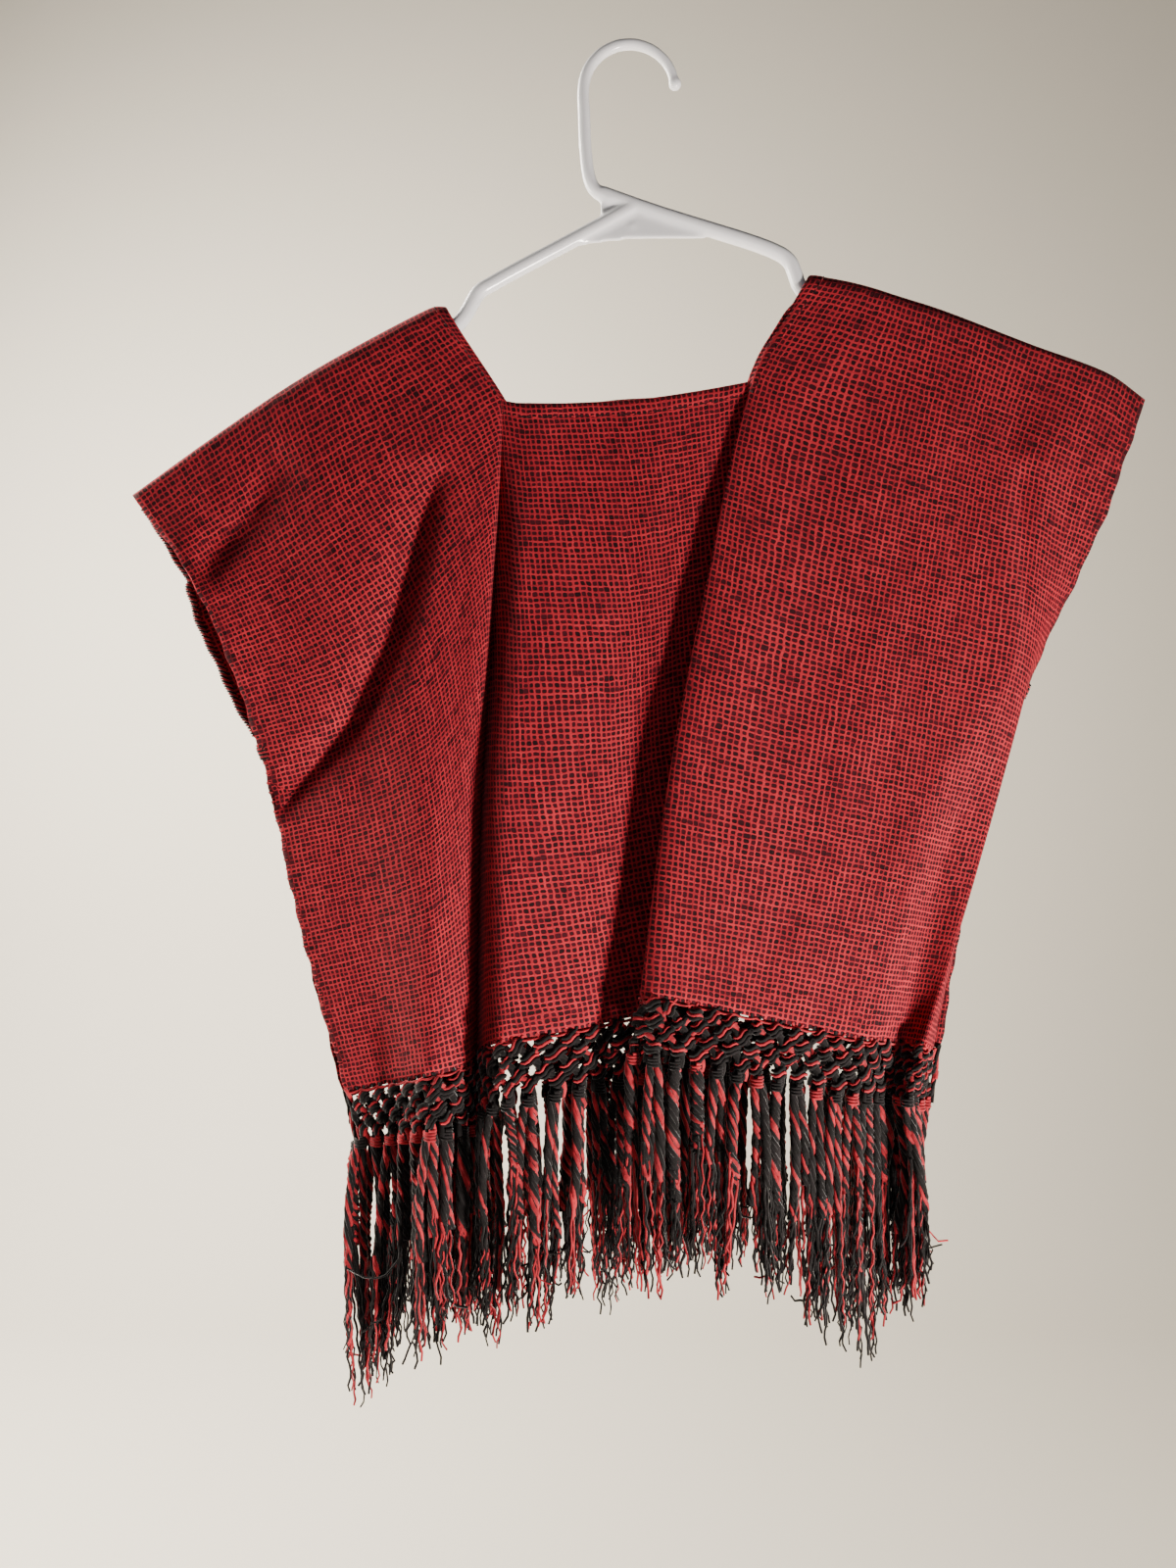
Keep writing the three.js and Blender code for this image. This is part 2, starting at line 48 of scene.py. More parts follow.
camera_data = bpy.data.cameras.new("camera")
camera_data.sensor_width = 36
camera_data.lens = camera_data.sensor_width * EYE_DISTANCE / (PHOTO_HEIGHT_PX * MM_PER_PX)
camera_data.clip_start = 0.01
camera = bpy.data.objects.new("camera", camera_data)
camera.location = Vector((EYE_X, -EYE_DISTANCE, EYE_Z)) * MM
camera.rotation_euler = (math.pi / 2, 0, 0)
bpy.context.collection.objects.link(camera)
bpy.context.scene.camera = camera


# Studio: a pale painted cove that runs from the floor up into the back wall in one sweep.
# It is matt emulsion, so it shows only soft shade, and stands well clear of the hung garment.
FLOOR_Z, COVE_RADIUS, WALL_Y, STUDIO_HALF_WIDTH, WALL_TOP = -1500.0, 700.0, 2300.0, 5000.0, 4200.0


def to_linear(code):
    """An sRGB hex colour as the linear RGBA that shaders read."""
    channels = [int(code[k:k + 2], 16) / 255 for k in (1, 3, 5)]
    return tuple(c / 12.92 if c <= 0.04045 else ((c + 0.055) / 1.055) ** 2.4 for c in channels) + (1.0,)


def add_node(tree, kind, inputs=None, **settings):
    """Adds one shader node, with its settings and with values or links on its inputs."""
    node = tree.nodes.new("ShaderNode" + kind)
    for name, value in settings.items():
        setattr(node, name, value)
    for name, value in (inputs or {}).items():
        if isinstance(value, bpy.types.NodeSocket):
            tree.links.new(value, node.inputs[name])
        else:
            node.inputs[name].default_value = value
    return node.outputs


def new_material(name):
    material = bpy.data.materials.new(name)
    material.use_nodes = True
    material.node_tree.nodes.clear()
    return material, material.node_tree


def add_object(name, mesh, *materials):
    for material in materials:
        mesh.materials.append(material)
    piece = bpy.data.objects.new(name, mesh)
    bpy.context.collection.objects.link(piece)
    return piece


matt_paint, paint_tree = new_material("pale_matt_emulsion")
paint_shader = add_node(paint_tree, "BsdfPrincipled", {
    "Base Color": to_linear("#CFCABF"), "Roughness": 0.95, "Specular IOR Level": 0.1})
add_node(paint_tree, "OutputMaterial", {"Surface": paint_shader["BSDF"]})

cove_profile = bmesh.new()
corner = Vector((-STUDIO_HALF_WIDTH, WALL_Y - COVE_RADIUS, FLOOR_Z))
edge_points = [Vector((-STUDIO_HALF_WIDTH, -4000.0, FLOOR_Z))]
for step in range(13):
    angle = math.pi / 2 * step / 12
    edge_points.append(corner + Vector((0, math.sin(angle), 1 - math.cos(angle))) * COVE_RADIUS)
edge_points.append(Vector((-STUDIO_HALF_WIDTH, WALL_Y, WALL_TOP)))
profile_vertices = [cove_profile.verts.new(point * MM) for point in edge_points]
profile_edges = [cove_profile.edges.new(pair) for pair in zip(profile_vertices, profile_vertices[1:])]
swept = bmesh.ops.extrude_edge_only(cove_profile, edges=profile_edges)
swept_vertices = [item for item in swept["geom"] if isinstance(item, bmesh.types.BMVert)]
bmesh.ops.translate(cove_profile, verts=swept_vertices, vec=Vector((2 * STUDIO_HALF_WIDTH, 0, 0)) * MM)
cove_mesh = bpy.data.meshes.new("studio_cove")
cove_profile.to_mesh(cove_mesh)
cove_profile.free()
cove_mesh.polygons.foreach_set("use_smooth", [True] * len(cove_mesh.polygons))
cove = add_object("studio_cove", cove_mesh, matt_paint)


def add_softbox(name, at, aim, size, power, colour):
    """A square soft light of size mm at a point in mm, turned towards another point."""
    data = bpy.data.lights.new(name, "AREA")
    data.size = size * MM
    data.energy = power
    data.color = to_linear(colour)[:3]
    light = bpy.data.objects.new(name, data)
    light.location = Vector(at) * MM
    light.rotation_euler = (Vector(aim) - Vector(at)).to_track_quat("-Z", "Y").to_euler()
    bpy.context.collection.objects.link(light)


add_softbox("key_light", (740, -660, -1290), (-10, 0, -430), 180, 45, "#FFF4EA")
add_softbox("fill_light", (-500, -1500, -1000), (0, 0, -500), 900, 2.2, "#F4F6FF")
add_softbox("back_light", (-900, 1200, 500), (0, 0, -350), 900, 16, "#FFFAF4")
add_softbox("wall_light", (-1300, 500, 100), (0, 2300, -1000), 1400, 190, "#FFF6E8")
world = bpy.data.worlds.new("studio_air")
bpy.context.scene.world = world
world.use_nodes = True
world.node_tree.nodes["Background"].inputs["Color"].default_value = to_linear("#E9EAEE")
world.node_tree.nodes["Background"].inputs["Strength"].default_value = 0.10


# Cloth: one rectangle of coarse plain-woven cotton, 570 by 820 mm, folded over the hanger's arms,
# with a square slot cut for the neck. It hangs in deep folds from the hanger's shoulders and is
# drawn up at the left armhole, where front and back are tacked together.
CLOTH_WIDTH, CLOTH_LENGTH, NECK_DEPTH = 570.0, 410.0, 66.0
NECK_LEFT, NECK_RIGHT = 214.0, 358.0
ARMHOLE_LEVEL, RIB_LEVEL = 180.0, 295.0
CLOTH_THICK = 1.2
CELL = 3.9
FOLD_RADIUS, TIP_FOLD_RADIUS, TIP_FADE = 5.6, 3.0, 40.0
HANGER_SPAN = (95.0, 470.0)
SLOT_PULL, BACK_SHOWS = 31.0, 8.5

# The shoulder line: place across the flat cloth, x, z
SHOULDER = np.array([
    (0, -289, -262), (30, -263.5, -243.5), (110, -194.5, -196), (164, -148.5, -169),
    (197, -119.5, -151.5), (214, -105, -152), (358, 107.5, -133.5), (378, 128, -136),
    (400, 147, -140), (464, 208, -163.5), (528, 270.5, -185.5), (550, 290.5, -194.5),
    (570, 304.5, -206)], float)

# Fold lines, left to right: u at the neck and at the hem, x at neck, armhole, rib and hem, z at neck
# and hem, depth at neck, armhole, rib and hem. The front's x and z are as the camera sees them in the
# hanger's plane, and the back's are true.
FRONT_FOLDS = (
    ("left edge", 0, 0, -252, -214.5, -191.5, -164, -316, -611, -10, -1, -1, -1),
    ("left trough", 60, 30, -208, -168.5, -157.5, -141.5, -292, -607, -12, -10, -8, -7),
    ("left ridge", 120, 68, -159, -122.5, -115, -114, -260.5, -602, -13, -18, -24, -26),
    ("left lip", 206, 96, -74, -81, -89, -92, -208.5, -595.5, -9, -13, -9, -8),
    ("left valley", 210, 126, -72.5, -77.5, -85, -87, -208.5, -590.5, -8, 2, 5, 6),
    ("middle lip", 214, 156, -70, -71, -80, -81, -209, -585, -8, -9, -15, -16),
    ("middle crest", 228, 174, -56.5, -60, -70, -71, -211, -582, -9, -20, -27, -28),
    ("middle", 286, 210, 1, -3.5, -19.5, -27.5, -209, -574.5, -9, -14, -17, -18),
    ("under the lip", 358, 243, 72.5, 45, 22, 7, -197.5, -567, -8, -8, -5, -3),
    ("hidden turn", 360, 292, 73, 65.5, 61.5, 60, -196, -560.5, -7, -5, -3, -2),
    ("hidden return", 361, 304, 73.5, 66, 62, 59, -196, -559.5, -8, -9, -9, -8),
    ("right lip", 363, 347, 75, 48.5, 25, 9, -195.5, -555, -9, -20, -25, -27),
    ("right crest", 372, 357, 83, 56.5, 33.5, 19.5, -198, -556.5, -10, -22, -29, -32),
    ("right middle", 430, 437, 157, 137.5, 122, 101, -222, -573, -11, -16, -21, -24),
    ("right shelf", 500, 481, 222.5, 198.5, 172, 143, -243, -581, -12, -16, -18, -19),
    ("right trough", 524, 512, 245, 226, 188.5, 161, -251.5, -582, -12, -14, -4, 2),
    ("right ridge", 545, 540, 262.5, 236, 207, 175, -260.5, -584, -10, -3, -4, -9),
    ("right edge", 570, 566, 283, 235, 203.5, 179.5, -269.5, -587, -7, 8, 8, 6),
)
BACK_FOLDS = (
    ("left edge", 0, 0, -259.5, -214.5, -192, -166, -312, -613, 9, 0.9, 0.9, 0.9),
    ("left shelf", 60, 36, -210.5, -170, -157, -138, -289, -608, 12, 13, 12, 10),
    ("left crest", 130, 84, -146, -119.5, -114, -107, -254, -599, 13, 18, 24, 27),
    ("left lip", 205, 116, -75, -73, -77, -83, -207, -592, 10, 19, 26, 29),
    ("lip turn", 208, 128, -73.5, -73, -76.5, -82, -207, -591, 9.5, 15, 20, 22),
    ("hidden return", 211, 156, -72.5, -85, -99, -107, -207, -590, 9, 12.5, 16, 17),
    ("hidden turn", 214, 164, -71.5, -85.5, -99.5, -107.5, -207.5, -589, 8, 8, 9, 10),
    ("middle", 250, 226, -34.5, -41.5, -49.5, -53.5, -207.5, -581, 9, 12, 14, 15),
    ("middle crest", 320, 282, 35.5, 19.5, 7, -1, -202.5, -570.5, 9, 18, 24, 27),
    ("middle lip", 358, 322, 72.5, 57.5, 37, 30, -196, -563.5, 9, 19, 25, 26),
    ("right valley", 361, 344, 73.5, 63, 45, 37, -196, -562.5, 8, 9, 11, 12),
    ("right lip", 364, 366, 75.5, 69, 53, 44, -195.5, -561, 10, 19, 24, 25),
    ("right middle", 430, 432, 157, 141.5, 119.5, 93, -222, -571.5, 12, 14, 15, 16),
    ("right crest", 495, 486, 218.5, 194, 165, 139, -242, -581, 12, 18, 25, 28),
    ("right trough", 540, 536, 259, 222, 191, 168, -259, -585.5, 11, 14, 15, 14),
    ("right edge", 570, 570, 283, 235, 206, 188, -269.5, -588, 9, 9.9, 10, 10),
)

# Creases pulled across the cloth: from (u, v) to (u, v), bow, depth (a ridge where negative on the
# front), and the width on each side at either end
FRONT_CREASES = (
    ("armhole drag", 166, 82, 2, 222, -10, 17, 18, 16, 6, 9),
    ("sleeve trough", 92, 34, 2, 66, 0, 7, 12, 10, 9, 8),
    ("right step", 532, 190, 508, 66, 0, 6, 22, 16, 4, 4),
)
BACK_CREASES = (
    ("armhole drag", 430, 100, 566, 206, -8, -8, 22, 5, 5, 16),
    ("sleeve trough", 84, 40, 4, 70, 0, -5, 14, 10, 14, 12),
    ("shoulder trough", 470, 30, 560, 90, 6, -4, 14, 10, 14, 10),
)
# Finer wrinkles of the same kind, which the soft cloth keeps from being worn and folded away
FRONT_WRINKLES = (
    ("armhole gape", 0, 30, 0, 178, 0, -5.5, 24, 24, 24, 24),
    ("sleeve pinch", 4, 62, 40, 40, 0, 3.5, 7, 12, 7, 12),
    ("tack pull", 1, 181, 52, 170, 2, -1.6, 4, 7, 4, 7),
    ("tack pull low", 1, 186, 40, 200, -2, -1.2, 4, 6, 4, 6),
    ("short trough", 72, 186, 54, 224, 0, 2.2, 9, 7, 6, 6),
    ("chest wrinkle", 283, 98, 284, 152, 0, -0.8, 3, 3, 3, 3),
    ("shoulder wrinkle", 392, 22, 432, 30, 0, -0.9, 3, 3, 3, 3),
    ("side trough", 480, 112, 486, 168, 0, 1.6, 8, 8, 6, 6),
    ("left low trough", 62, 250, 40, 400, 4, 2.0, 10, 14, 8, 10),
    ("tip pucker", 548, 44, 566, 36, 0, -0.8, 3, 3, 3, 3),
    ("tip pucker low", 552, 60, 567, 58, 0, 0.8, 3, 3, 3, 3),
)
BACK_WRINKLES = (
    ("armhole gape", 0, 40, 0, 176, 0, 2.5, 20, 20, 20, 20),
    ("tack pull", 568, 182, 520, 172, 2, 1.5, 4, 7, 4, 7),
    ("shoulder wrinkle", 150, 20, 196, 28, 0, 0.9, 3, 3, 3, 3),
    ("blade trough", 256, 90, 262, 160, 0, -1.2, 8, 8, 8, 8),
    ("low trough", 470, 260, 500, 395, 4, -1.8, 10, 14, 8, 10),
    ("left side trough", 52, 120, 60, 200, 0, -1.6, 8, 8, 6, 6),
)


def pick(rows, index):
    """The entry at index along the last axis, one for each place."""
    return np.take_along_axis(rows, index[..., None], axis=-1)[..., 0]


def glide(stops, values, at):
    """Reads a smooth line through values, one per stop along the last axis, that never swings past them."""
    stops, at = np.asarray(stops, float), np.asarray(at, float)
    values = np.broadcast_to(np.asarray(values, float), at.shape + stops.shape)
    spans = np.diff(stops)
    slopes = np.diff(values, axis=-1) / spans
    before, after = slopes[..., :-1], slopes[..., 1:]
    same = before * after > 0
    w0, w1 = 2 * spans[1:] + spans[:-1], spans[1:] + 2 * spans[:-1]
    inner = (w0 + w1) / (w0 / np.where(same, before, 1) + w1 / np.where(same, after, 1))
    tangents = np.concatenate([slopes[..., :1], np.where(same, inner, 0), slopes[..., -1:]], axis=-1)
    k = np.clip(np.searchsorted(stops, at, side="left") - 1, 0, len(spans) - 1)
    t = np.maximum(0, (at - stops[k]) / spans[k])
    rise = (1 + 2 * t) * (1 - t) ** 2 * pick(values, k) + t * t * (3 - 2 * t) * pick(values, k + 1)
    lean = t * (1 - t) ** 2 * pick(tangents, k) - t * t * (1 - t) * pick(tangents, k + 1)
    past = values[..., -1] + slopes[..., -1] * (at - stops[-1])
    return np.where(at >= stops[-1], past, rise + spans[k] * lean)


def fold_radius(u):
    """The radius of the shoulder fold, tighter past the ends of the hanger's arms."""
    past = np.maximum(np.maximum(HANGER_SPAN[0] - u, u - HANGER_SPAN[1]), 0)
    return FOLD_RADIUS + (TIP_FOLD_RADIUS - FOLD_RADIUS) * np.clip(past / TIP_FADE, 0, 1)


def crease_depth(creases, u, v):
    """The depth that pulled creases add at places on the flat cloth."""
    depth = np.zeros(np.shape(u))
    for _, u0, v0, u1, v1, bow, deep, upper0, upper1, lower0, lower1 in creases:
        du, dv = u1 - u0, v1 - v0
        length = math.hypot(du, dv)
        t = ((u - u0) * du + (v - v0) * dv) / length ** 2
        along = np.clip(t, 0, 1)
        aside = ((u - u0) * dv - (v - v0) * du) / length + bow * 4 * along * (1 - along)
        width = np.where(aside > 0, lower0 + (lower1 - lower0) * along, upper0 + (upper1 - upper0) * along)
        depth += deep * np.sqrt(np.sin(math.pi * along).clip(0)) * np.exp(-(np.abs(aside) / width) ** 1.5)
    return depth


def slide(side, u, v):
    """How far the cloth is drawn sideways: straight along the slot's left end, in small scallops
    along its sides, and the back panel let out past the front one at the left armhole."""
    down = np.clip(v / NECK_DEPTH, 0, 1)
    shift = -SLOT_PULL * down ** 2 * (1 - down) * np.exp(-((u - NECK_LEFT) / 26) ** 2)
    wave = (0.45 * np.sin(v / 3.5) + 0.5 * np.sin(v / 7.7 + side)) * np.clip(v / 20, 0, 1)
    shift += wave * (np.exp(-(CLOTH_WIDTH - u) / 7) - np.exp(-u / 7))
    if side > 0:
        along = np.clip((v - NECK_DEPTH) / (ARMHOLE_LEVEL - NECK_DEPTH), 0, 1)
        shift -= BACK_SHOWS * np.sqrt(np.sin(math.pi * along).clip(0)) * np.exp(-(u / 38) ** 2)
    return shift


class Half:
    """One half of the draped cloth, front (side -1) or back (side 1), hung on its fold lines."""

    def __init__(self, folds, creases, side, phase):
        rows = np.array([row[1:] for row in folds], float)
        self.side, self.creases, self.phase = side, creases, phase
        self.top, self.stops = rows[:, 0], rows[:, 1]
        shoulder_x = glide(SHOULDER[:, 0], SHOULDER[:, 1], self.top)
        shoulder_z = glide(SHOULDER[:, 0], SHOULDER[:, 2], self.top)
        self.x = np.column_stack([shoulder_x, rows[:, 2:6]])
        self.z = np.column_stack([shoulder_z, rows[:, 6:8]])
        self.y = np.column_stack([side * fold_radius(self.top), rows[:, 8:12]])
        self.dense = np.linspace(0, self.stops[-1], 6001)
        self.dense_top = self.flat_at(self.dense, np.zeros(self.dense.shape))

    def flat_at(self, stop, v):
        """Place across the flat cloth of a fold stop at v mm below the shoulder fold."""
        share = np.clip((v - NECK_DEPTH) / (CLOTH_LENGTH - NECK_DEPTH), 0, 1)
        return glide(self.stops, self.top + (self.stops - self.top) * share[..., None], stop)

    def stop_at(self, u, v):
        """The fold stop that lies at u across the flat cloth, v mm below the shoulder fold."""
        u, v = np.broadcast_arrays(np.asarray(u, float), np.asarray(v, float))
        low, high = np.zeros(u.shape), np.full(u.shape, self.stops[-1] + 8)
        for _ in range(32):
            middle = (low + high) / 2
            less = self.flat_at(middle, v) < u
            low, high = np.where(less, middle, low), np.where(less, high, middle)
        return (low + high) / 2

    def ripple(self, u, v):
        """Slight waves that any hung handwoven cloth has, still at its edges and shoulder fold."""
        waves = (0.75 * np.sin(u / 11.3 + v / 41 + self.phase) * np.sin(v / 57 + 0.6)
                 + 0.55 * np.sin(u / 7.1 - v / 33 + 2.1 * self.phase) * np.sin(v / 44 - u / 90)
                 + 0.3 * np.sin(u / 4.4 + v / 19 + self.phase) * np.sin(v / 27 + u / 31))
        edges = np.clip(np.minimum(u, CLOTH_WIDTH - u) / 40, 0, 1) * np.clip((v - 8) / 40, 0, 1)
        return waves * edges * np.clip((CLOTH_LENGTH + 60 - v) / 120, 0.3, 1)

    def place(self, stop, v):
        """Middle of the cloth's thickness, in mm, at a fold stop and v mm below the shoulder fold."""
        stop, v = np.broadcast_arrays(np.asarray(stop, float), np.asarray(v, float))
        u = self.flat_at(stop, v)
        radius = fold_radius(u)
        quarter = math.pi / 2 * radius
        turn = np.minimum(v / radius, math.pi / 2)
        hung = radius + (v - quarter) * (CLOTH_LENGTH - radius) / (CLOTH_LENGTH - quarter)
        drop = np.where(v < quarter, radius * (1 - np.cos(turn)), hung)
        levels = [0, NECK_DEPTH, ARMHOLE_LEVEL, RIB_LEVEL, CLOTH_LENGTH]
        tables = ((levels, self.x), (levels, self.y), ([0, NECK_DEPTH, CLOTH_LENGTH], self.z))
        x, y, z = [
            glide(self.stops, np.stack([glide(at, row, drop) for row in table], axis=-1), stop)
            for at, table in tables]
        x = x + slide(self.side, u, v)
        y = (y + crease_depth(self.creases, u, v) + self.ripple(u, v)) * np.sin(turn)
        if self.side < 0:
            scale = (EYE_DISTANCE + y) / EYE_DISTANCE
            x, z = EYE_X + (x - EYE_X) * scale, EYE_Z + (z - EYE_Z) * scale
        return np.stack([x, y, z], axis=-1)

    def on(self, u, v, lift=0.0):
        """Points lift mm off the cloth's middle, outwards, at places on the flat cloth."""
        u, v, lift = np.broadcast_arrays(*(np.asarray(a, float) for a in (u, v, lift)))
        stop = self.stop_at(u, v)
        nudge = 0.4
        across = self.place(stop + nudge, v) - self.place(np.maximum(stop - nudge, 0), v)
        down = self.place(stop, v + nudge) - self.place(stop, np.maximum(v - nudge, 0))
        out = self.side * np.cross(across, down)
        out /= np.linalg.norm(out, axis=-1, keepdims=True)
        return self.place(stop, v) + out * lift[..., None]


front = Half(FRONT_FOLDS, FRONT_CREASES + FRONT_WRINKLES, -1, 0.9)
back = Half(BACK_FOLDS, BACK_CREASES + BACK_WRINKLES, 1, 3.4)


def spread_columns():
    """Places across the shoulder, closer together where either half folds sharply below."""
    dense = np.linspace(0, CLOTH_WIDTH, 5701)
    hems = [np.interp(dense, half.dense_top, half.dense) for half in (front, back)]
    widest = np.maximum.reduce([np.diff(dense)] + [np.diff(hem) for hem in hems])
    measure = np.concatenate([[0], np.cumsum(widest)])
    marks = sorted(set(front.top) | set(back.top))
    columns = []
    for start, end in zip(marks, marks[1:]):
        m0, m1 = np.interp([start, end], dense, measure)
        count = max(1, math.ceil((m1 - m0) / CELL))
        columns += list(np.interp(np.linspace(m0, m1, count + 1)[:-1], measure, dense))
    return np.array(columns + [CLOTH_WIDTH])


columns = spread_columns()
near_fold = [0, 1.3, 2.6, 4, 5.6, 7.4, 9.6, 12.4, 16]
half_rows = np.concatenate([
    near_fold, np.linspace(20.5, NECK_DEPTH, 10), np.linspace(71, CLOTH_LENGTH, 69)])
rows = np.concatenate([-half_rows[:0:-1], half_rows])
grids = {}
for half in (front, back):
    stops = np.interp(columns, half.dense_top, half.dense)
    places = np.meshgrid(stops, half_rows)
    grids[half.side] = half.place(*places), half.flat_at(*places)
(front_at, front_u), (back_at, back_u) = grids[-1], grids[1]
back_at[0] = front_at[0] = (front_at[0] + back_at[0]) / 2
cloth_at = np.concatenate([back_at[:0:-1], front_at]) * MM
cloth_u = np.concatenate([back_u[:0:-1], front_u])

cloth_bmesh = bmesh.new()
bmesh.ops.create_grid(cloth_bmesh, x_segments=len(columns) - 1, y_segments=len(rows) - 1, size=1)
weave_layer = cloth_bmesh.loops.layers.uv.new("weave")
spot = {}
for vertex in cloth_bmesh.verts:
    i = round((vertex.co.x + 1) / 2 * (len(columns) - 1))
    j = round((vertex.co.y + 1) / 2 * (len(rows) - 1))
    spot[vertex] = i, j
for vertex, (i, j) in spot.items():
    vertex.co = cloth_at[j, i]
slot_faces = []
for face in cloth_bmesh.faces:
    for loop in face.loops:
        i, j = spot[loop.vert]
        loop[weave_layer].uv = (cloth_u[j, i] * MM, (rows[j] + CLOTH_LENGTH) * MM)
    across = [columns[spot[vertex][0]] for vertex in face.verts]
    down = [rows[spot[vertex][1]] for vertex in face.verts]
    inside = min(across) >= NECK_LEFT - 0.01 and max(across) <= NECK_RIGHT + 0.01
    if inside and min(down) >= -NECK_DEPTH - 0.01 and max(down) <= NECK_DEPTH + 0.01:
        slot_faces.append(face)
bmesh.ops.delete(cloth_bmesh, geom=slot_faces, context="FACES")
bmesh.ops.recalc_face_normals(cloth_bmesh, faces=cloth_bmesh.faces[:])
cloth_mesh = bpy.data.meshes.new("poncho_cloth")
cloth_bmesh.to_mesh(cloth_mesh)
cloth_bmesh.free()
cloth_mesh.polygons.foreach_set("use_smooth", [True] * len(cloth_mesh.polygons))

# Plain-woven cotton: red threads stand up in a fine square net over near-black ones, about 3 mm
# apart, so the eye sees red lines round dark checks. Hand-spun threads are uneven, so the checks
# vary, run together here and there, and the lines wander.
THREAD_PITCH = 3.05
RED_BRIGHT, RED_DEEP = to_linear("#BC2A36"), to_linear("#841A26")
CHECK_BLACK, CHECK_MAROON = to_linear("#14050A"), to_linear("#3E0A16")

woven_cotton, weave_tree = new_material("plain_woven_cotton")
flat_place = add_node(weave_tree, "UVMap", uv_map="weave")["UV"]
threads = add_node(weave_tree, "VectorMath", {
    0: flat_place, "Scale": 1000 / THREAD_PITCH}, operation="SCALE")[0]
wander = add_node(weave_tree, "TexNoise", {"Vector": threads, "Scale": 0.42, "Detail": 1.5})["Color"]
wander = add_node(weave_tree, "VectorMath", {0: wander, 1: (0.5, 0.5, 0.5)}, operation="SUBTRACT")[0]
wander = add_node(weave_tree, "VectorMath", {0: wander, "Scale": 0.62}, operation="SCALE")[0]
threads = add_node(weave_tree, "VectorMath", {0: threads, 1: wander}, operation="ADD")[0]
check = add_node(weave_tree, "VectorMath", {0: threads}, operation="FLOOR")[0]
within = add_node(weave_tree, "VectorMath", {0: threads}, operation="FRACTION")[0]
within = add_node(weave_tree, "VectorMath", {0: within, 1: (0.5, 0.5, 0.5)}, operation="SUBTRACT")[0]
within = add_node(weave_tree, "VectorMath", {0: within}, operation="ABSOLUTE")[0]
aside = add_node(weave_tree, "SeparateXYZ", {0: within})
chance = add_node(weave_tree, "TexWhiteNoise", {"Vector": check}, noise_dimensions="2D")["Color"]
chance = add_node(weave_tree, "SeparateXYZ", {0: chance})
run_at = add_node(weave_tree, "VectorMath", {0: check, 1: (0.45, 0.93, 0)}, operation="MULTIPLY")[0]
run = add_node(weave_tree, "TexNoise", {"Vector": run_at, "Scale": 1.0, "Detail": 0.0})["Fac"]
run = add_node(weave_tree, "MapRange", {"Value": run, "From Min": 0.62, "From Max": 0.80})[0]
half_widths = []
for axis, (size, vary, swell) in {"X": (0.33, 0.12, 0.12), "Y": (0.322, 0.10, 0.05)}.items():
    width = add_node(weave_tree, "Math", {
        0: chance[axis], 1: vary, 2: size - vary / 2}, operation="MULTIPLY_ADD")[0]
    width = add_node(weave_tree, "Math", {0: run, 1: swell, 2: width}, operation="MULTIPLY_ADD")[0]
    ratio = add_node(weave_tree, "Math", {0: aside[axis], 1: width}, operation="DIVIDE")[0]
    half_widths.append(add_node(weave_tree, "Math", {0: ratio, 1: 3.2}, operation="POWER")[0])
reach = add_node(weave_tree, "Math", {0: half_widths[0], 1: half_widths[1]}, operation="ADD")[0]
raised = add_node(weave_tree, "MapRange", {"Value": reach, "From Min": 0.7, "From Max": 2.1},
                  interpolation_type="SMOOTHSTEP")[0]
tones = []
for stretch, offset in (((1.0, 0.09, 0), (0.5, 0, 0)), ((0.09, 1.0, 0), (0, 0.5, 7))):
    tone_at = add_node(weave_tree, "VectorMath", {0: threads, 1: offset}, operation="ADD")[0]
    tone_at = add_node(weave_tree, "VectorMath", {0: tone_at, 1: stretch}, operation="MULTIPLY")[0]
    tones.append(add_node(weave_tree, "TexNoise", {"Vector": tone_at, "Scale": 0.9, "Detail": 2.0})["Fac"])
is_warp = add_node(weave_tree, "Math", {0: aside["X"], 1: aside["Y"]}, operation="GREATER_THAN")[0]
tone = add_node(weave_tree, "Mix", {"Factor": is_warp, 2: tones[1], 3: tones[0]})[0]
tone = add_node(weave_tree, "MapRange", {"Value": tone, "From Min": 0.3, "From Max": 0.68})[0]
red = add_node(weave_tree, "Mix", {"Factor": tone, 6: RED_DEEP, 7: RED_BRIGHT}, data_type="RGBA")[2]
run_shade = add_node(weave_tree, "Math", {0: run, 1: 0.4}, operation="MULTIPLY")[0]
red = add_node(weave_tree, "Mix", {"Factor": run_shade, 6: red, 7: CHECK_BLACK}, data_type="RGBA")[2]
dark = add_node(weave_tree, "Mix", {
    "Factor": chance["Z"], 6: CHECK_BLACK, 7: CHECK_MAROON}, data_type="RGBA")[2]

# Painted shade: along the cloth's two sides many ends of the weft are painted darker, towards near black, as
# the shade where the weft turns back round the edge
ENDS_START, ENDS_FULL = CLOTH_WIDTH / 2 - 9, CLOTH_WIDTH / 2 - 2
DARK_END_ABOVE, WEFT_END_PAINTED_SHADE = 0.55, 0.8
across_cloth = add_node(weave_tree, "SeparateXYZ", {0: flat_place})["X"]
from_middle = add_node(weave_tree, "Math", {
    0: across_cloth, 1: CLOTH_WIDTH / 2 * MM}, operation="SUBTRACT")[0]
from_middle = add_node(weave_tree, "Math", {0: from_middle}, operation="ABSOLUTE")[0]
painted_shade_near_side = add_node(weave_tree, "MapRange", {
    "Value": from_middle, "From Min": ENDS_START * MM, "From Max": ENDS_FULL * MM})[0]
painted_weft_end_shade = add_node(weave_tree, "Math", {0: chance["Y"], 1: DARK_END_ABOVE}, operation="GREATER_THAN")[0]
painted_weft_end_shade = add_node(weave_tree, "Math", {0: painted_shade_near_side, 1: painted_weft_end_shade}, operation="MULTIPLY")[0]
painted_weft_end_shade = add_node(weave_tree, "Math", {0: painted_weft_end_shade, 1: WEFT_END_PAINTED_SHADE}, operation="MULTIPLY")[0]
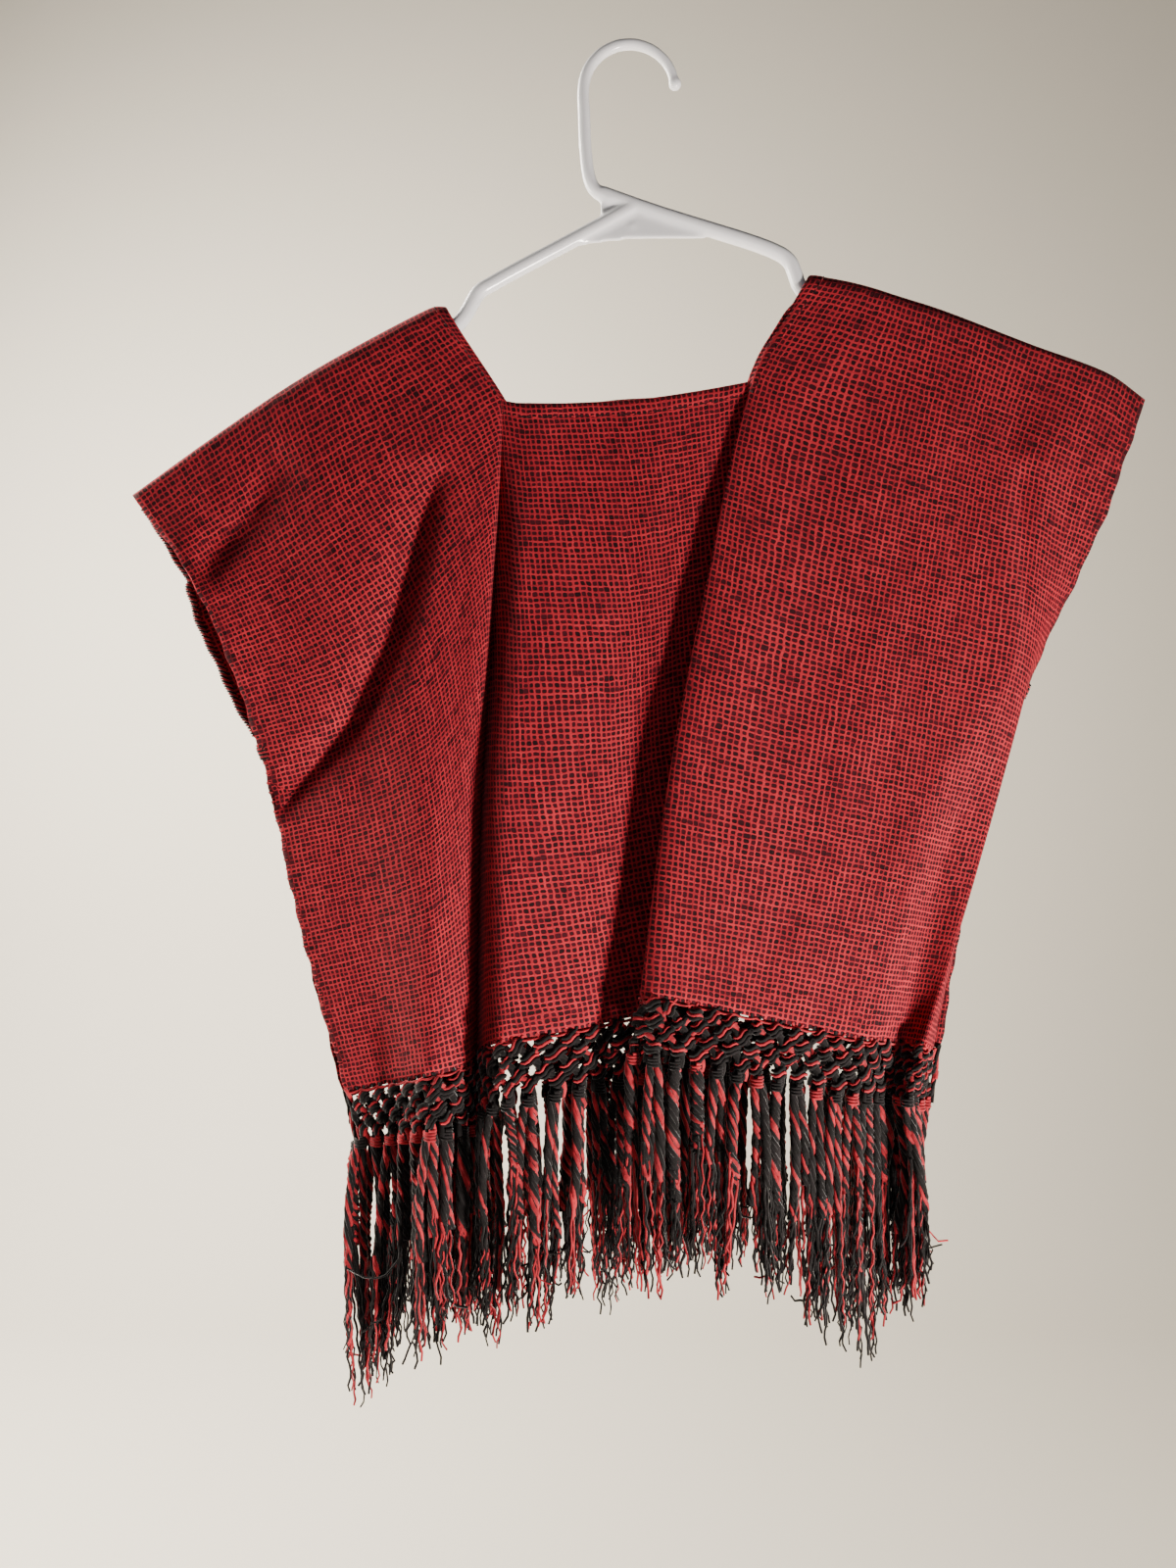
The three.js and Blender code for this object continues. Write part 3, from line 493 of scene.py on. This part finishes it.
# Painted shade: a share of the weft ends by the sides is mixed towards near black
red = add_node(weave_tree, "Mix", {"Factor": painted_weft_end_shade, 6: red, 7: CHECK_BLACK}, data_type="RGBA")[2]
weave_colour = add_node(weave_tree, "Mix", {"Factor": raised, 6: dark, 7: red}, data_type="RGBA")[2]
relief = add_node(weave_tree, "Bump", {"Strength": 0.5, "Distance": 0.0004, "Height": raised})["Normal"]
cloth_shader = add_node(weave_tree, "BsdfPrincipled", {
    "Base Color": weave_colour, "Roughness": 0.88, "Specular IOR Level": 0.18, "Normal": relief,
    "Sheen Weight": 0.22, "Sheen Roughness": 0.45, "Sheen Tint": to_linear("#E8707A")})
add_node(weave_tree, "OutputMaterial", {"Surface": cloth_shader["BSDF"]})

poncho_cloth = add_object("poncho_cloth", cloth_mesh, woven_cotton)
thicken = poncho_cloth.modifiers.new("cloth_thickness", "SOLIDIFY")
thicken.thickness = CLOTH_THICK * MM
thicken.offset = 0
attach(poncho_cloth, "root")
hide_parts("cloth_front", "cloth_back")


# Neck hem: the slot's raw edge is turned under twice and sewn down with small running stitches,
# about 8 mm in. The same woven cloth goes round the edge, so its weave runs on from the panel's.
HEM_PROFILE = np.array([
    (8.4, 0.1), (7.7, 0.72), (6.4, 0.98), (3.6, 1.08), (1.4, 1.0), (0.2, 0.72), (-0.35, 0),
    (0.2, -0.9), (1.4, -1.5), (3.8, -1.7), (6.0, -1.6), (7.0, -1.1), (7.3, -0.2)])


def on_cloth(u, v, lift=0.0):
    """Points off the cloth where v runs on over the shoulder fold: front above 0, back below."""
    u, v, lift = np.broadcast_arrays(*(np.asarray(a, float) for a in (u, v, lift)))
    return np.where((v >= 0)[..., None], front.on(u, np.abs(v), lift), back.on(u, np.abs(v), lift))


def slot_path(inset, spacing):
    """Places round the neck slot, inset mm into the cloth, as u and v with mitred corners."""
    left, right, top = NECK_LEFT - inset, NECK_RIGHT + inset, NECK_DEPTH + inset
    corners = [(left, -top), (left, top), (right, top), (right, -top), (left, -top)]
    lengths = [2 * NECK_DEPTH, NECK_RIGHT - NECK_LEFT] * 2
    sides = []
    for (u0, v0), (u1, v1), length in zip(corners, corners[1:], lengths):
        share = np.linspace(0, 1, round(length / spacing) + 1)[:-1, None]
        sides.append(np.array([u0, v0]) + share * (np.array([u1, v1]) - (u0, v0)))
    return np.concatenate(sides)


hem_rings = np.stack([slot_path(inset, 3.0) for inset in HEM_PROFILE[:, 0]], axis=1)
hem_at = on_cloth(hem_rings[..., 0], hem_rings[..., 1], HEM_PROFILE[:, 1]) * MM
around, section = hem_at.shape[:2]
hem_bmesh = bmesh.new()
bmesh.ops.create_grid(hem_bmesh, x_segments=around, y_segments=section, size=1)
hem_layer = hem_bmesh.loops.layers.uv.new("weave")
spot = {}
for vertex in hem_bmesh.verts:
    i = round((vertex.co.x + 1) / 2 * around)
    j = round((vertex.co.y + 1) / 2 * section)
    spot[vertex] = i % around, j % section
for vertex, (i, j) in spot.items():
    vertex.co = hem_at[i, j]
for face in hem_bmesh.faces:
    for loop in face.loops:
        u, v = hem_rings[spot[loop.vert]]
        loop[hem_layer].uv = (u * MM, (v + CLOTH_LENGTH) * MM)
bmesh.ops.remove_doubles(hem_bmesh, verts=hem_bmesh.verts[:], dist=1e-7)
bmesh.ops.recalc_face_normals(hem_bmesh, faces=hem_bmesh.faces[:])
hem_mesh = bpy.data.meshes.new("neck_hem")
hem_bmesh.to_mesh(hem_mesh)
hem_bmesh.free()
hem_mesh.polygons.foreach_set("use_smooth", [True] * len(hem_mesh.polygons))
neck_hem = add_object("neck_hem", hem_mesh, woven_cotton)
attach(neck_hem, "root")

# Spun cotton yarn: soft, matt and slightly hairy, dyed red or black. Up close its fibres show as
# fine streaks, which the shader gives as small noise in colour and relief.
YARN_COLOURS = {"red_cotton_yarn": ("#B82733", "#831722"), "black_cotton_yarn": ("#130E10", "#070505")}
yarn_materials = []
for yarn_name, (light_colour, deep_colour) in YARN_COLOURS.items():
    yarn_material, yarn_tree = new_material(yarn_name)
    object_place = add_node(yarn_tree, "TexCoord")["Object"]
    fibres = add_node(yarn_tree, "TexNoise", {"Vector": object_place, "Scale": 900.0, "Detail": 2.0})["Fac"]
    patches = add_node(yarn_tree, "TexNoise", {"Vector": object_place, "Scale": 160.0, "Detail": 1.0})["Fac"]
    shade = add_node(yarn_tree, "MapRange", {"Value": patches, "From Min": 0.35, "From Max": 0.65})[0]
    colour = add_node(yarn_tree, "Mix", {
        "Factor": shade, 6: to_linear(deep_colour), 7: to_linear(light_colour)}, data_type="RGBA")[2]
    fuzz = add_node(yarn_tree, "Bump", {"Strength": 0.5, "Distance": 0.0004, "Height": fibres})["Normal"]
    shader = add_node(yarn_tree, "BsdfPrincipled", {
        "Base Color": colour, "Roughness": 0.85, "Specular IOR Level": 0.2, "Normal": fuzz,
        "Sheen Weight": 0.3, "Sheen Roughness": 0.4})
    add_node(yarn_tree, "OutputMaterial", {"Surface": shader["BSDF"]})
    yarn_materials.append(yarn_material)
RED, BLACK = 0, 1


def lay_yarns(name, yarns, roundness=0):
    """Makes one mesh of many yarns, each (points in mm, radius in mm, RED or BLACK)."""
    curve = bpy.data.curves.new(name, "CURVE")
    curve.dimensions = "3D"
    curve.bevel_depth = MM
    curve.bevel_resolution = roundness
    curve.use_fill_caps = True
    for material in yarn_materials:
        curve.materials.append(material)
    for points, radius, colour in yarns:
        spline = curve.splines.new("POLY")
        spline.points.add(len(points) - 1)
        spline.points.foreach_set("co", np.column_stack([points * MM, np.ones(len(points))]).ravel())
        spline.points.foreach_set("radius", np.broadcast_to(np.asarray(radius, float), len(points)).copy())
        spline.material_index = colour
        spline.use_smooth = True
    spool = bpy.data.objects.new(name + "_spool", curve)
    bpy.context.collection.objects.link(spool)
    bpy.context.view_layer.update()
    mesh = bpy.data.meshes.new_from_object(spool)
    bpy.data.objects.remove(spool)
    mesh.name = name
    piece = add_object(name, mesh)
    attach(piece, "root")
    return piece


STITCH_INSET, STITCH_PITCH, STITCH_SHARE, STITCH_RADIUS = 8.0, 3.4, 0.62, 0.3
stitch_yarns = []
stitch_path = slot_path(STITCH_INSET, STITCH_PITCH)
for k, (u, v) in enumerate(stitch_path):
    ahead = stitch_path[(k + 1) % len(stitch_path)]
    run_to = np.array([u, v]) + (ahead - (u, v)) * STITCH_SHARE
    share = np.linspace(0, 1, 5)
    flat = np.array([u, v]) + share[:, None] * (run_to - (u, v))
    points = on_cloth(flat[:, 0], flat[:, 1], 0.55 + 0.4 * np.sin(math.pi * share))
    stitch_yarns.append((points, STITCH_RADIUS, BLACK if k % 3 else RED))
neck_stitches = lay_yarns("neck_hem_stitches", stitch_yarns)


# Armhole edges: the back panel's edges are overcast with a red and a black yarn wound round them
# side by side; front and back are tacked at the armhole and whipped together down the side.
WRAP_PITCH, WRAP_RADIUS = 3.6, 0.62


def wind_edge(half, at_right, v0, v1, pitch, inset, lift, yarn_radius, colours):
    """Yarns wound round a side edge of the cloth as helices, from v0 to v1 mm down."""
    turns = (v1 - v0) / pitch
    angle = np.linspace(0, 2 * math.pi * turns, round(turns * 12))
    wound = []
    for k, colour in enumerate(colours):
        phase = angle + 2 * math.pi * k / len(colours)
        into = inset * (0.42 + 0.58 * np.cos(phase))
        u = CLOTH_WIDTH - into if at_right else into
        v = v0 + angle / (2 * math.pi) * pitch + 0.25 * pitch * np.cos(phase)
        points = edge_points_at(half, at_right, into, v, lift * np.sin(phase))
        wound.append((points, yarn_radius, colour))
    return wound


def edge_points_at(half, at_right, into, v, lift):
    """Points into mm inside a side edge (outside where negative), lift mm off the cloth."""
    edge_u = CLOTH_WIDTH if at_right else 0.0
    inward = -1.0 if at_right else 1.0
    rim = half.on(edge_u + inward * 0.6, v, 0)
    inner = half.on(edge_u + inward * 5.0, v, 0)
    raised_rim = half.on(edge_u + inward * 0.6, v, 1.0) - rim
    step = (inner - rim) / np.linalg.norm(inner - rim, axis=-1, keepdims=True)
    return rim + step * (into - 0.6)[..., None] + raised_rim * lift[..., None]


overcast_yarns = []
for at_right in (False, True):
    overcast_yarns += wind_edge(back, at_right, 12, 176, WRAP_PITCH, 3.4, 1.25, WRAP_RADIUS, (RED, BLACK))
overcast = lay_yarns("armhole_overcast", overcast_yarns)

seam_yarns = []
for at_right, tack_reach, reach_down in ((False, 4.2, 392), (True, 2.0, 372)):
    seam_yarns += wind_edge(front, at_right, 177, 186, 2.6, tack_reach, tack_reach * 0.6, 0.7, (BLACK, RED))
    seam_yarns += wind_edge(front, at_right, 187, reach_down, 6.5, 2.0, 1.4, 0.42, (RED,))
side_seams = lay_yarns("side_seams", seam_yarns)


# Knotted bands: below the last weft the doubled red and black warp yarns are tied in four
# staggered rows of slanted knots, an open net 33 mm deep. A red weft lies in scallops at its top.
BAND_HEIGHT = 33.0
GROUPS = 47
GROUP_PITCH = CLOTH_WIDTH / GROUPS
KNOT_ROWS = (4.6, 12.2, 19.8, 27.4)
KNOT_SLANT = math.radians(24)
LINK_MISSING, LINK_RADIUS, WEFT_RADIUS = 0.03, 1.75, 0.72
chance_of = np.random.default_rng(11)


def knot_centres(row):
    """Flat places of one row of knots; every second row is set half a group aside."""
    return (np.arange(GROUPS) + 0.5) * GROUP_PITCH if row % 2 else np.arange(1, GROUPS) * GROUP_PITCH


# The three strands of a knot: their colours, their radii in mm, and how often each kind comes
KNOT_KINDS = (
    ((RED, BLACK, BLACK), (0.95, 1.5, 1.3)),
    ((BLACK, RED, BLACK), (1.3, 1.2, 1.3)),
    ((RED, BLACK, RED), (0.65, 1.55, 0.65)),
)
KNOT_CHANCES = (0.42, 0.33, 0.25)


def tie_band(half, name, node):
    """Ties one half's net of knots, links and side cords, and lays the scalloped weft at its top."""
    flat, radii, colours = [], [], []

    def strand(u, v, lift, radius, colour):
        flat.append(np.stack(np.broadcast_arrays(u, v, lift), axis=-1))
        radii.append(radius)
        colours.append(colour)

    share = np.linspace(0, 1, 6)
    bulge = np.sin(math.pi * share)
    for row, depth in enumerate(KNOT_ROWS):
        is_last = row == len(KNOT_ROWS) - 1
        for centre in knot_centres(row):
            u0 = centre + chance_of.normal(0, 0.8)
            v0 = CLOTH_LENGTH + depth + chance_of.normal(0, 0.7)
            slant = KNOT_SLANT + chance_of.normal(0, 0.2)
            reach = 4.4 + chance_of.normal(0, 0.6)
            order, sizes = KNOT_KINDS[int(chance_of.choice(len(KNOT_KINDS), p=KNOT_CHANCES))]
            for side in (1, -1):
                for k, colour in enumerate(order):
                    apart = (k - 1) * 2.2
                    thick = sizes[k]
                    along = (share - 0.5) * 2 * reach * (1.0 if k == 1 else 0.86)
                    bend = 0.9 * np.sin(2 * math.pi * share)
                    u = u0 + along * math.cos(slant) + (apart + bend) * math.sin(slant)
                    v = v0 - along * math.sin(slant) + (apart + bend) * math.cos(slant)
                    strand(u, v, side * (0.3 + 1.9 * bulge), thick * (0.72 + 0.28 * bulge), colour)
            for step in (-0.5, 0.5):
                lower = BAND_HEIGHT + 3 if is_last else KNOT_ROWS[row + 1]
                sway = step * GROUP_PITCH * (0.25 if is_last else 1.0)
                for k, colour in enumerate((BLACK, RED if chance_of.random() < 0.3 else BLACK)):
                    if chance_of.random() < LINK_MISSING:
                        continue
                    u = u0 + sway * share + (k - 0.5) * 1.5 + step * 2.2 * bulge
                    v = v0 + (CLOTH_LENGTH + lower - v0) * share
                    strand(u, v, (k - 0.5) * 1.3 * np.cos(math.pi * share), LINK_RADIUS, colour)
        if row == 0:
            for centre in knot_centres(0):
                for step in (-0.25, 0.25):
                    u = centre + step * GROUP_PITCH * (1 - share)
                    strand(u, CLOTH_LENGTH - 1.5 + (depth + 1.5) * share, 0.3, 0.95,
                           RED if chance_of.random() < 0.5 else BLACK)
    depths = np.linspace(-2, BAND_HEIGHT + 2, 6)
    for edge_u in (1.6, CLOTH_WIDTH - 1.6):
        for k, colour in enumerate((RED, BLACK, BLACK)):
            turn = depths / 5 + 2 * math.pi * k / 3
            strand(edge_u + 1.3 * np.sin(turn), CLOTH_LENGTH + depths, 1.3 * np.cos(turn), 1.15, colour)
    placed = np.array(flat)
    inside = np.clip(placed[..., 0], 0.8, CLOTH_WIDTH - 0.8)
    points = half.on(inside, placed[..., 1], placed[..., 2])
    yarns = [(points[k], radii[k], colours[k]) for k in range(len(flat))]
    for lift in (0.75, -0.75):
        u = np.arange(0.8, CLOTH_WIDTH - 0.8, 1.4)
        scallop = 1.5 * np.abs(np.sin(math.pi * u / GROUP_PITCH)) ** 0.7
        yarns.append((half.on(u, CLOTH_LENGTH + 0.2 + scallop, lift), WEFT_RADIUS, RED))
    band = lay_yarns(name, yarns, roundness=1)
    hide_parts(node)
    return band


band_front = tie_band(front, "knotted_net_front", "knotted_band_front")
band_back = tie_band(back, "knotted_net_back", "knotted_band_back")


# Fringe: each group of warp yarns is wound round at its top. It hangs as two twisted cords of five
# red and black yarns, or as one of seven, and frays into loose threads. The lengths are uneven.
TASSEL_ENDS = np.array([
    (-166, -808), (-152, -796), (-135, -768), (-100, -755), (-50, -742), (-15, -738), (25, -716),
    (80, -724), (110, -742), (135, -768), (155, -742), (184, -732)], float)
TASSEL_UNEVEN, TASSEL_LEAN, TASSEL_CLEARANCE = 14.0, 1.2, 5.2
# Where the tassels hang parted: x, and half the width
PARTINGS = ((156.0, 10.0), (-41.0, 4.0), (112.0, 4.0), (60.0, 3.0))
TWIST_PITCH = 21.0
TWIN_SHARE = 0.82
LOOSE_RADIUS, WINDING_RADIUS, WINDING_TURNS = 0.88, 2.9, 3.4
CORD_KINDS = (
    (RED, RED, BLACK, BLACK, BLACK, BLACK, BLACK), (RED, BLACK, RED, BLACK, RED, BLACK, BLACK),
    (RED, BLACK, BLACK, BLACK, RED, BLACK, BLACK), (RED, BLACK, BLACK, RED, BLACK, RED, BLACK))
TWIN_KINDS = (
    (RED, BLACK, BLACK, BLACK, BLACK), (RED, BLACK, BLACK, RED, BLACK),
    (RED, RED, BLACK, BLACK, BLACK), (BLACK, BLACK, BLACK, BLACK, BLACK))
KIND_CHANCES = (0.35, 0.3, 0.2, 0.15)


def tassel_roots(half):
    """Where the tassels hang from: one below each group of warp yarns, but none inside another."""
    roots = []
    for k in range(GROUPS):
        u = (k + 0.5) * GROUP_PITCH - 5.0 * math.exp(-k / 2)
        root = half.on(u, CLOTH_LENGTH + BAND_HEIGHT + 1.5, 0.0)
        if all(math.hypot(*(root - other)[:2]) >= TASSEL_CLEARANCE for _, other in roots):
            roots.append((k, root))
    return roots


def fray(start, colour, reach, spin, drift):
    """One loose thread below a cord: it goes on turning, then wanders, and now and then hooks aside."""
    t = np.linspace(0, 1, max(8, round(reach / 3.8)))
    aside = (drift + chance_of.normal(0, 1.9), chance_of.normal(0, 1.6))
    curl = chance_of.uniform(0.4, 1.5)
    wave = reach / chance_of.uniform(9, 20)
    hook = chance_of.normal(0, 9) if chance_of.random() < 0.12 else 0.0
    turn = spin + wave * 2 * math.pi * t
    x = start[0] + aside[0] * t ** 1.3 + curl * np.sin(turn) * t ** 0.4 + hook * t ** 4
    y = start[1] + aside[1] * t ** 1.3 + 0.7 * curl * np.cos(turn) * t ** 0.4
    z = start[2] + 2 - (reach + 2) * (t - (abs(hook) / 60) * t ** 6)
    kinks = chance_of.normal(0, 0.28, (len(t), 3)) * t[:, None]
    radius = LOOSE_RADIUS * (1 - 0.25 * t) * chance_of.uniform(0.7, 1.15)
    return np.stack([x, y, z], axis=-1) + kinks, radius, colour


def twist_fringe(half, sway, node):
    """Hangs one half's tassels: their cords as one piece and their loose threads as another."""
    cords, ends = [], []
    for k, root in tassel_roots(half):
        end = float(glide(TASSEL_ENDS[:, 0], TASSEL_ENDS[:, 1], np.clip(root[0], -166, 184)))
        end += TASSEL_UNEVEN * (0.5 + 0.5 * math.sin(2.3 * k + sway))
        length = root[2] - end
        lean = TASSEL_LEAN * math.sin(1.7 * k + sway) + chance_of.normal(0, 3.2)
        for place, half_width in PARTINGS:
            apart = root[0] - place
            if abs(apart) < half_width:
                lean += math.copysign(half_width - abs(apart), apart) * 1.6
        twins = chance_of.random() < TWIN_SHARE
        for beside in (-1.0, 1.0) if twins else (0.0,):
            kinds = TWIN_KINDS if twins else CORD_KINDS
            thick = chance_of.uniform(0.92, 1.14) if twins else chance_of.uniform(1.0, 1.25)
            yarns = kinds[int(chance_of.choice(len(kinds), p=KIND_CHANCES))]
            pitch = TWIST_PITCH * chance_of.uniform(0.8, 1.4)
            phase = chance_of.uniform(0, 2 * math.pi)
            bend = chance_of.normal(0, 2.0, 2)
            ring = 0.34 * len(yarns) * thick

            s = np.arange(0, length * chance_of.uniform(0.4, 0.68), 3.9)
            share = s / length
            axis = np.stack([
                root[0] + beside * ring + (lean + 3 * beside) * share
                + bend[0] * np.sin(1.6 * math.pi * share),
                root[1] + beside * 0.8 + bend[1] * np.sin(math.pi * share),
                root[2] - s], axis=-1)
            cords.append((axis, 0.98 * ring * np.clip(0.6 + s / 14, 0, 1), BLACK))
            drift = chance_of.normal(0, 3.0)
            for p, colour in enumerate(yarns):
                loose = chance_of.uniform(0.84, 1.2) + 0.18 * np.sin(s / chance_of.uniform(5, 9) + phase + p)
                swell = ring * np.clip(0.62 + s / 14, 0, 1) * loose
                uneven = s + 3.4 * np.sin(s / 12 + phase) + chance_of.uniform(-1.2, 1.2)
                around = phase + 2 * math.pi * (p / len(yarns) + uneven / pitch)
                points = axis + np.stack([swell * np.sin(around), -swell * np.cos(around), 0 * s], axis=-1)
                cords.append((points, 1.1 * thick * chance_of.uniform(0.85, 1.12), colour))
                for _ in range(2):
                    first = int(len(s) * chance_of.uniform(0.7, 1.0)) - 1
                    reach = (length - s[first]) * chance_of.uniform(0.6, 1.06)
                    ends.append(fray(points[first], colour, reach, float(around[first]), drift))
        wide = 1.2 if twins else 1.0
        loop = np.linspace(0, 2 * math.pi * WINDING_TURNS, 34)
        winding = np.stack([
            WINDING_RADIUS * wide * np.sin(loop), -WINDING_RADIUS * wide * np.cos(loop),
            2.6 - loop / 3.6], axis=-1)
        cords.append((root + winding * (0.9, 0.9, 1.0), 0.95, RED if chance_of.random() < 0.35 else BLACK))
    cord_piece = lay_yarns(node + "_twisted_cords", cords, roundness=1)
    end_piece = lay_yarns(node + "_frayed_ends", ends)
    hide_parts(node)
    return [cord_piece, end_piece]


fringe = twist_fringe(front, 0, "fringe_front")
fringe += twist_fringe(back, 2, "fringe_back")


# Hanger: one moulding of glossy white polystyrene, a tapered hook with a small ball end, two
# sloped arms with notches for straps, a straight bar and a thin web where the arms meet.
TUBE_RADIUS = 4.5
HOOK_CENTRE, HOOK_RADIUS, HOOK_TOP_RADIUS, HOOK_POST_RADIUS, BALL_RADIUS = (2.3, -24.1), 27.0, 2.9, 4.2, 3.9
POST_LINE = ((-24.4, -36), (-22.4, -69), (-21, -76), (-18.2, -82), (-14.5, -85), (-8, -88.5))
RIGHT_ARM_LINE = (
    (-14, -84.5), (10, -93.1), (91, -120.2), (96.5, -125), (99.5, -132), (102.5, -139.5), (109, -145),
    (118, -147.2), (128, -148), (205, -173.4), (214, -178), (218, -185.5), (217, -193.5),
    (213.5, -198.5), (210, -200.4), (204, -201))
LEFT_ARM_LINE = (
    (4, -93), (-20, -106.1), (-79, -138), (-86, -142.5), (-90.5, -150), (-95, -157.5), (-101, -163.5),
    (-109, -166.5), (-121, -169), (-188, -202), (-197, -208.5), (-200.5, -216.3), (-198.5, -221.6),
    (-194.5, -224.2), (-191, -224.3), (-184, -223.8))
BAR_LINE = ((-187.7, -224), (206.7, -200.7))
WEB_OUTLINE = (
    (-38, -117), (-30, -111), (-14.5, -101), (-14.5, -87), (6, -90), (46, -106), (46, -111.2),
    (26, -110.8), (1, -111.4), (-20, -113.8))
WEB_THICK = 2.8
MARK_PLACE, MARK_RADIUS = (4.1, -103.8), 2.2
hook_line = []
for step in range(9):
    angle = math.radians(8 + 172 * step / 8)
    hook_line.append((
        HOOK_CENTRE[0] + HOOK_RADIUS * math.cos(angle), HOOK_CENTRE[1] + HOOK_RADIUS * math.sin(angle)))
hook_line += POST_LINE
hook_radii = np.linspace(HOOK_TOP_RADIUS, HOOK_POST_RADIUS, len(hook_line))

tubes = bpy.data.curves.new("hanger_tubes", "CURVE")
tubes.dimensions = "3D"
tubes.bevel_depth = MM
tubes.bevel_resolution = 6
tubes.use_fill_caps = True
tubes.resolution_u = 8
tube_lines = ((hook_line, hook_radii), (RIGHT_ARM_LINE, None), (LEFT_ARM_LINE, None), (BAR_LINE, None))
for line, radii in tube_lines:
    spline = tubes.splines.new("BEZIER")
    spline.bezier_points.add(len(line) - 1)
    for k, (x, z) in enumerate(line):
        point = spline.bezier_points[k]
        point.co = (x * MM, 0, z * MM)
        point.handle_left_type = point.handle_right_type = "AUTO"
        point.radius = TUBE_RADIUS if radii is None else radii[k]
tube_object = bpy.data.objects.new("hanger_tubes", tubes)
bpy.context.collection.objects.link(tube_object)
bpy.context.view_layer.update()
tube_mesh = bpy.data.meshes.new_from_object(tube_object)
bpy.data.objects.remove(tube_object)

hanger_bmesh = bmesh.new()
hanger_bmesh.from_mesh(tube_mesh)
ball = bmesh.ops.create_uvsphere(hanger_bmesh, u_segments=24, v_segments=16, radius=BALL_RADIUS * MM)
hook_tip = Vector((hook_line[0][0], 0, hook_line[0][1]))
bmesh.ops.translate(hanger_bmesh, verts=ball["verts"], vec=hook_tip * MM)
web_vertices = [hanger_bmesh.verts.new(Vector((x, -WEB_THICK / 2, z)) * MM) for x, z in WEB_OUTLINE]
web_face = hanger_bmesh.faces.new(web_vertices)
web_back = bmesh.ops.extrude_face_region(hanger_bmesh, geom=[web_face], use_keep_orig=True)
pushed = [item for item in web_back["geom"] if isinstance(item, bmesh.types.BMVert)]
bmesh.ops.translate(hanger_bmesh, verts=pushed, vec=(0, WEB_THICK * MM, 0))
mark = bmesh.ops.create_uvsphere(hanger_bmesh, u_segments=16, v_segments=10, radius=MARK_RADIUS * MM)
mark_at = Vector((MARK_PLACE[0], -WEB_THICK / 2 + MARK_RADIUS * 0.55, MARK_PLACE[1]))
bmesh.ops.translate(hanger_bmesh, verts=mark["verts"], vec=mark_at * MM)
bmesh.ops.recalc_face_normals(hanger_bmesh, faces=hanger_bmesh.faces[:])
hanger_bmesh.to_mesh(tube_mesh)
hanger_bmesh.free()

white_plastic, plastic_tree = new_material("glossy_white_polystyrene")
plastic_shader = add_node(plastic_tree, "BsdfPrincipled", {
    "Base Color": to_linear("#F1F2F6"), "Roughness": 0.22, "IOR": 1.59,
    "Subsurface Weight": 0.08, "Subsurface Radius": (0.003, 0.003, 0.003)})
add_node(plastic_tree, "OutputMaterial", {"Surface": plastic_shader["BSDF"]})
moulding = add_object("hanger_moulding", tube_mesh, white_plastic)
fuse = moulding.modifiers.new("fuse", "REMESH")
fuse.mode = "VOXEL"
fuse.voxel_size = 1.3 * MM
fuse.use_smooth_shade = True
soften = moulding.modifiers.new("soften", "SMOOTH")
soften.iterations = 4
soften.factor = 0.5
bpy.context.view_layer.update()
fused_mesh = bpy.data.meshes.new_from_object(moulding.evaluated_get(bpy.context.evaluated_depsgraph_get()))
bpy.data.objects.remove(moulding)
fused_mesh.polygons.foreach_set("use_smooth", [True] * len(fused_mesh.polygons))
hanger = add_object("hanger", fused_mesh)
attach(hanger, "root")
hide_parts("hanger_hook", "hanger_right_arm", "hanger_left_arm", "hanger_bar", "hanger_web")
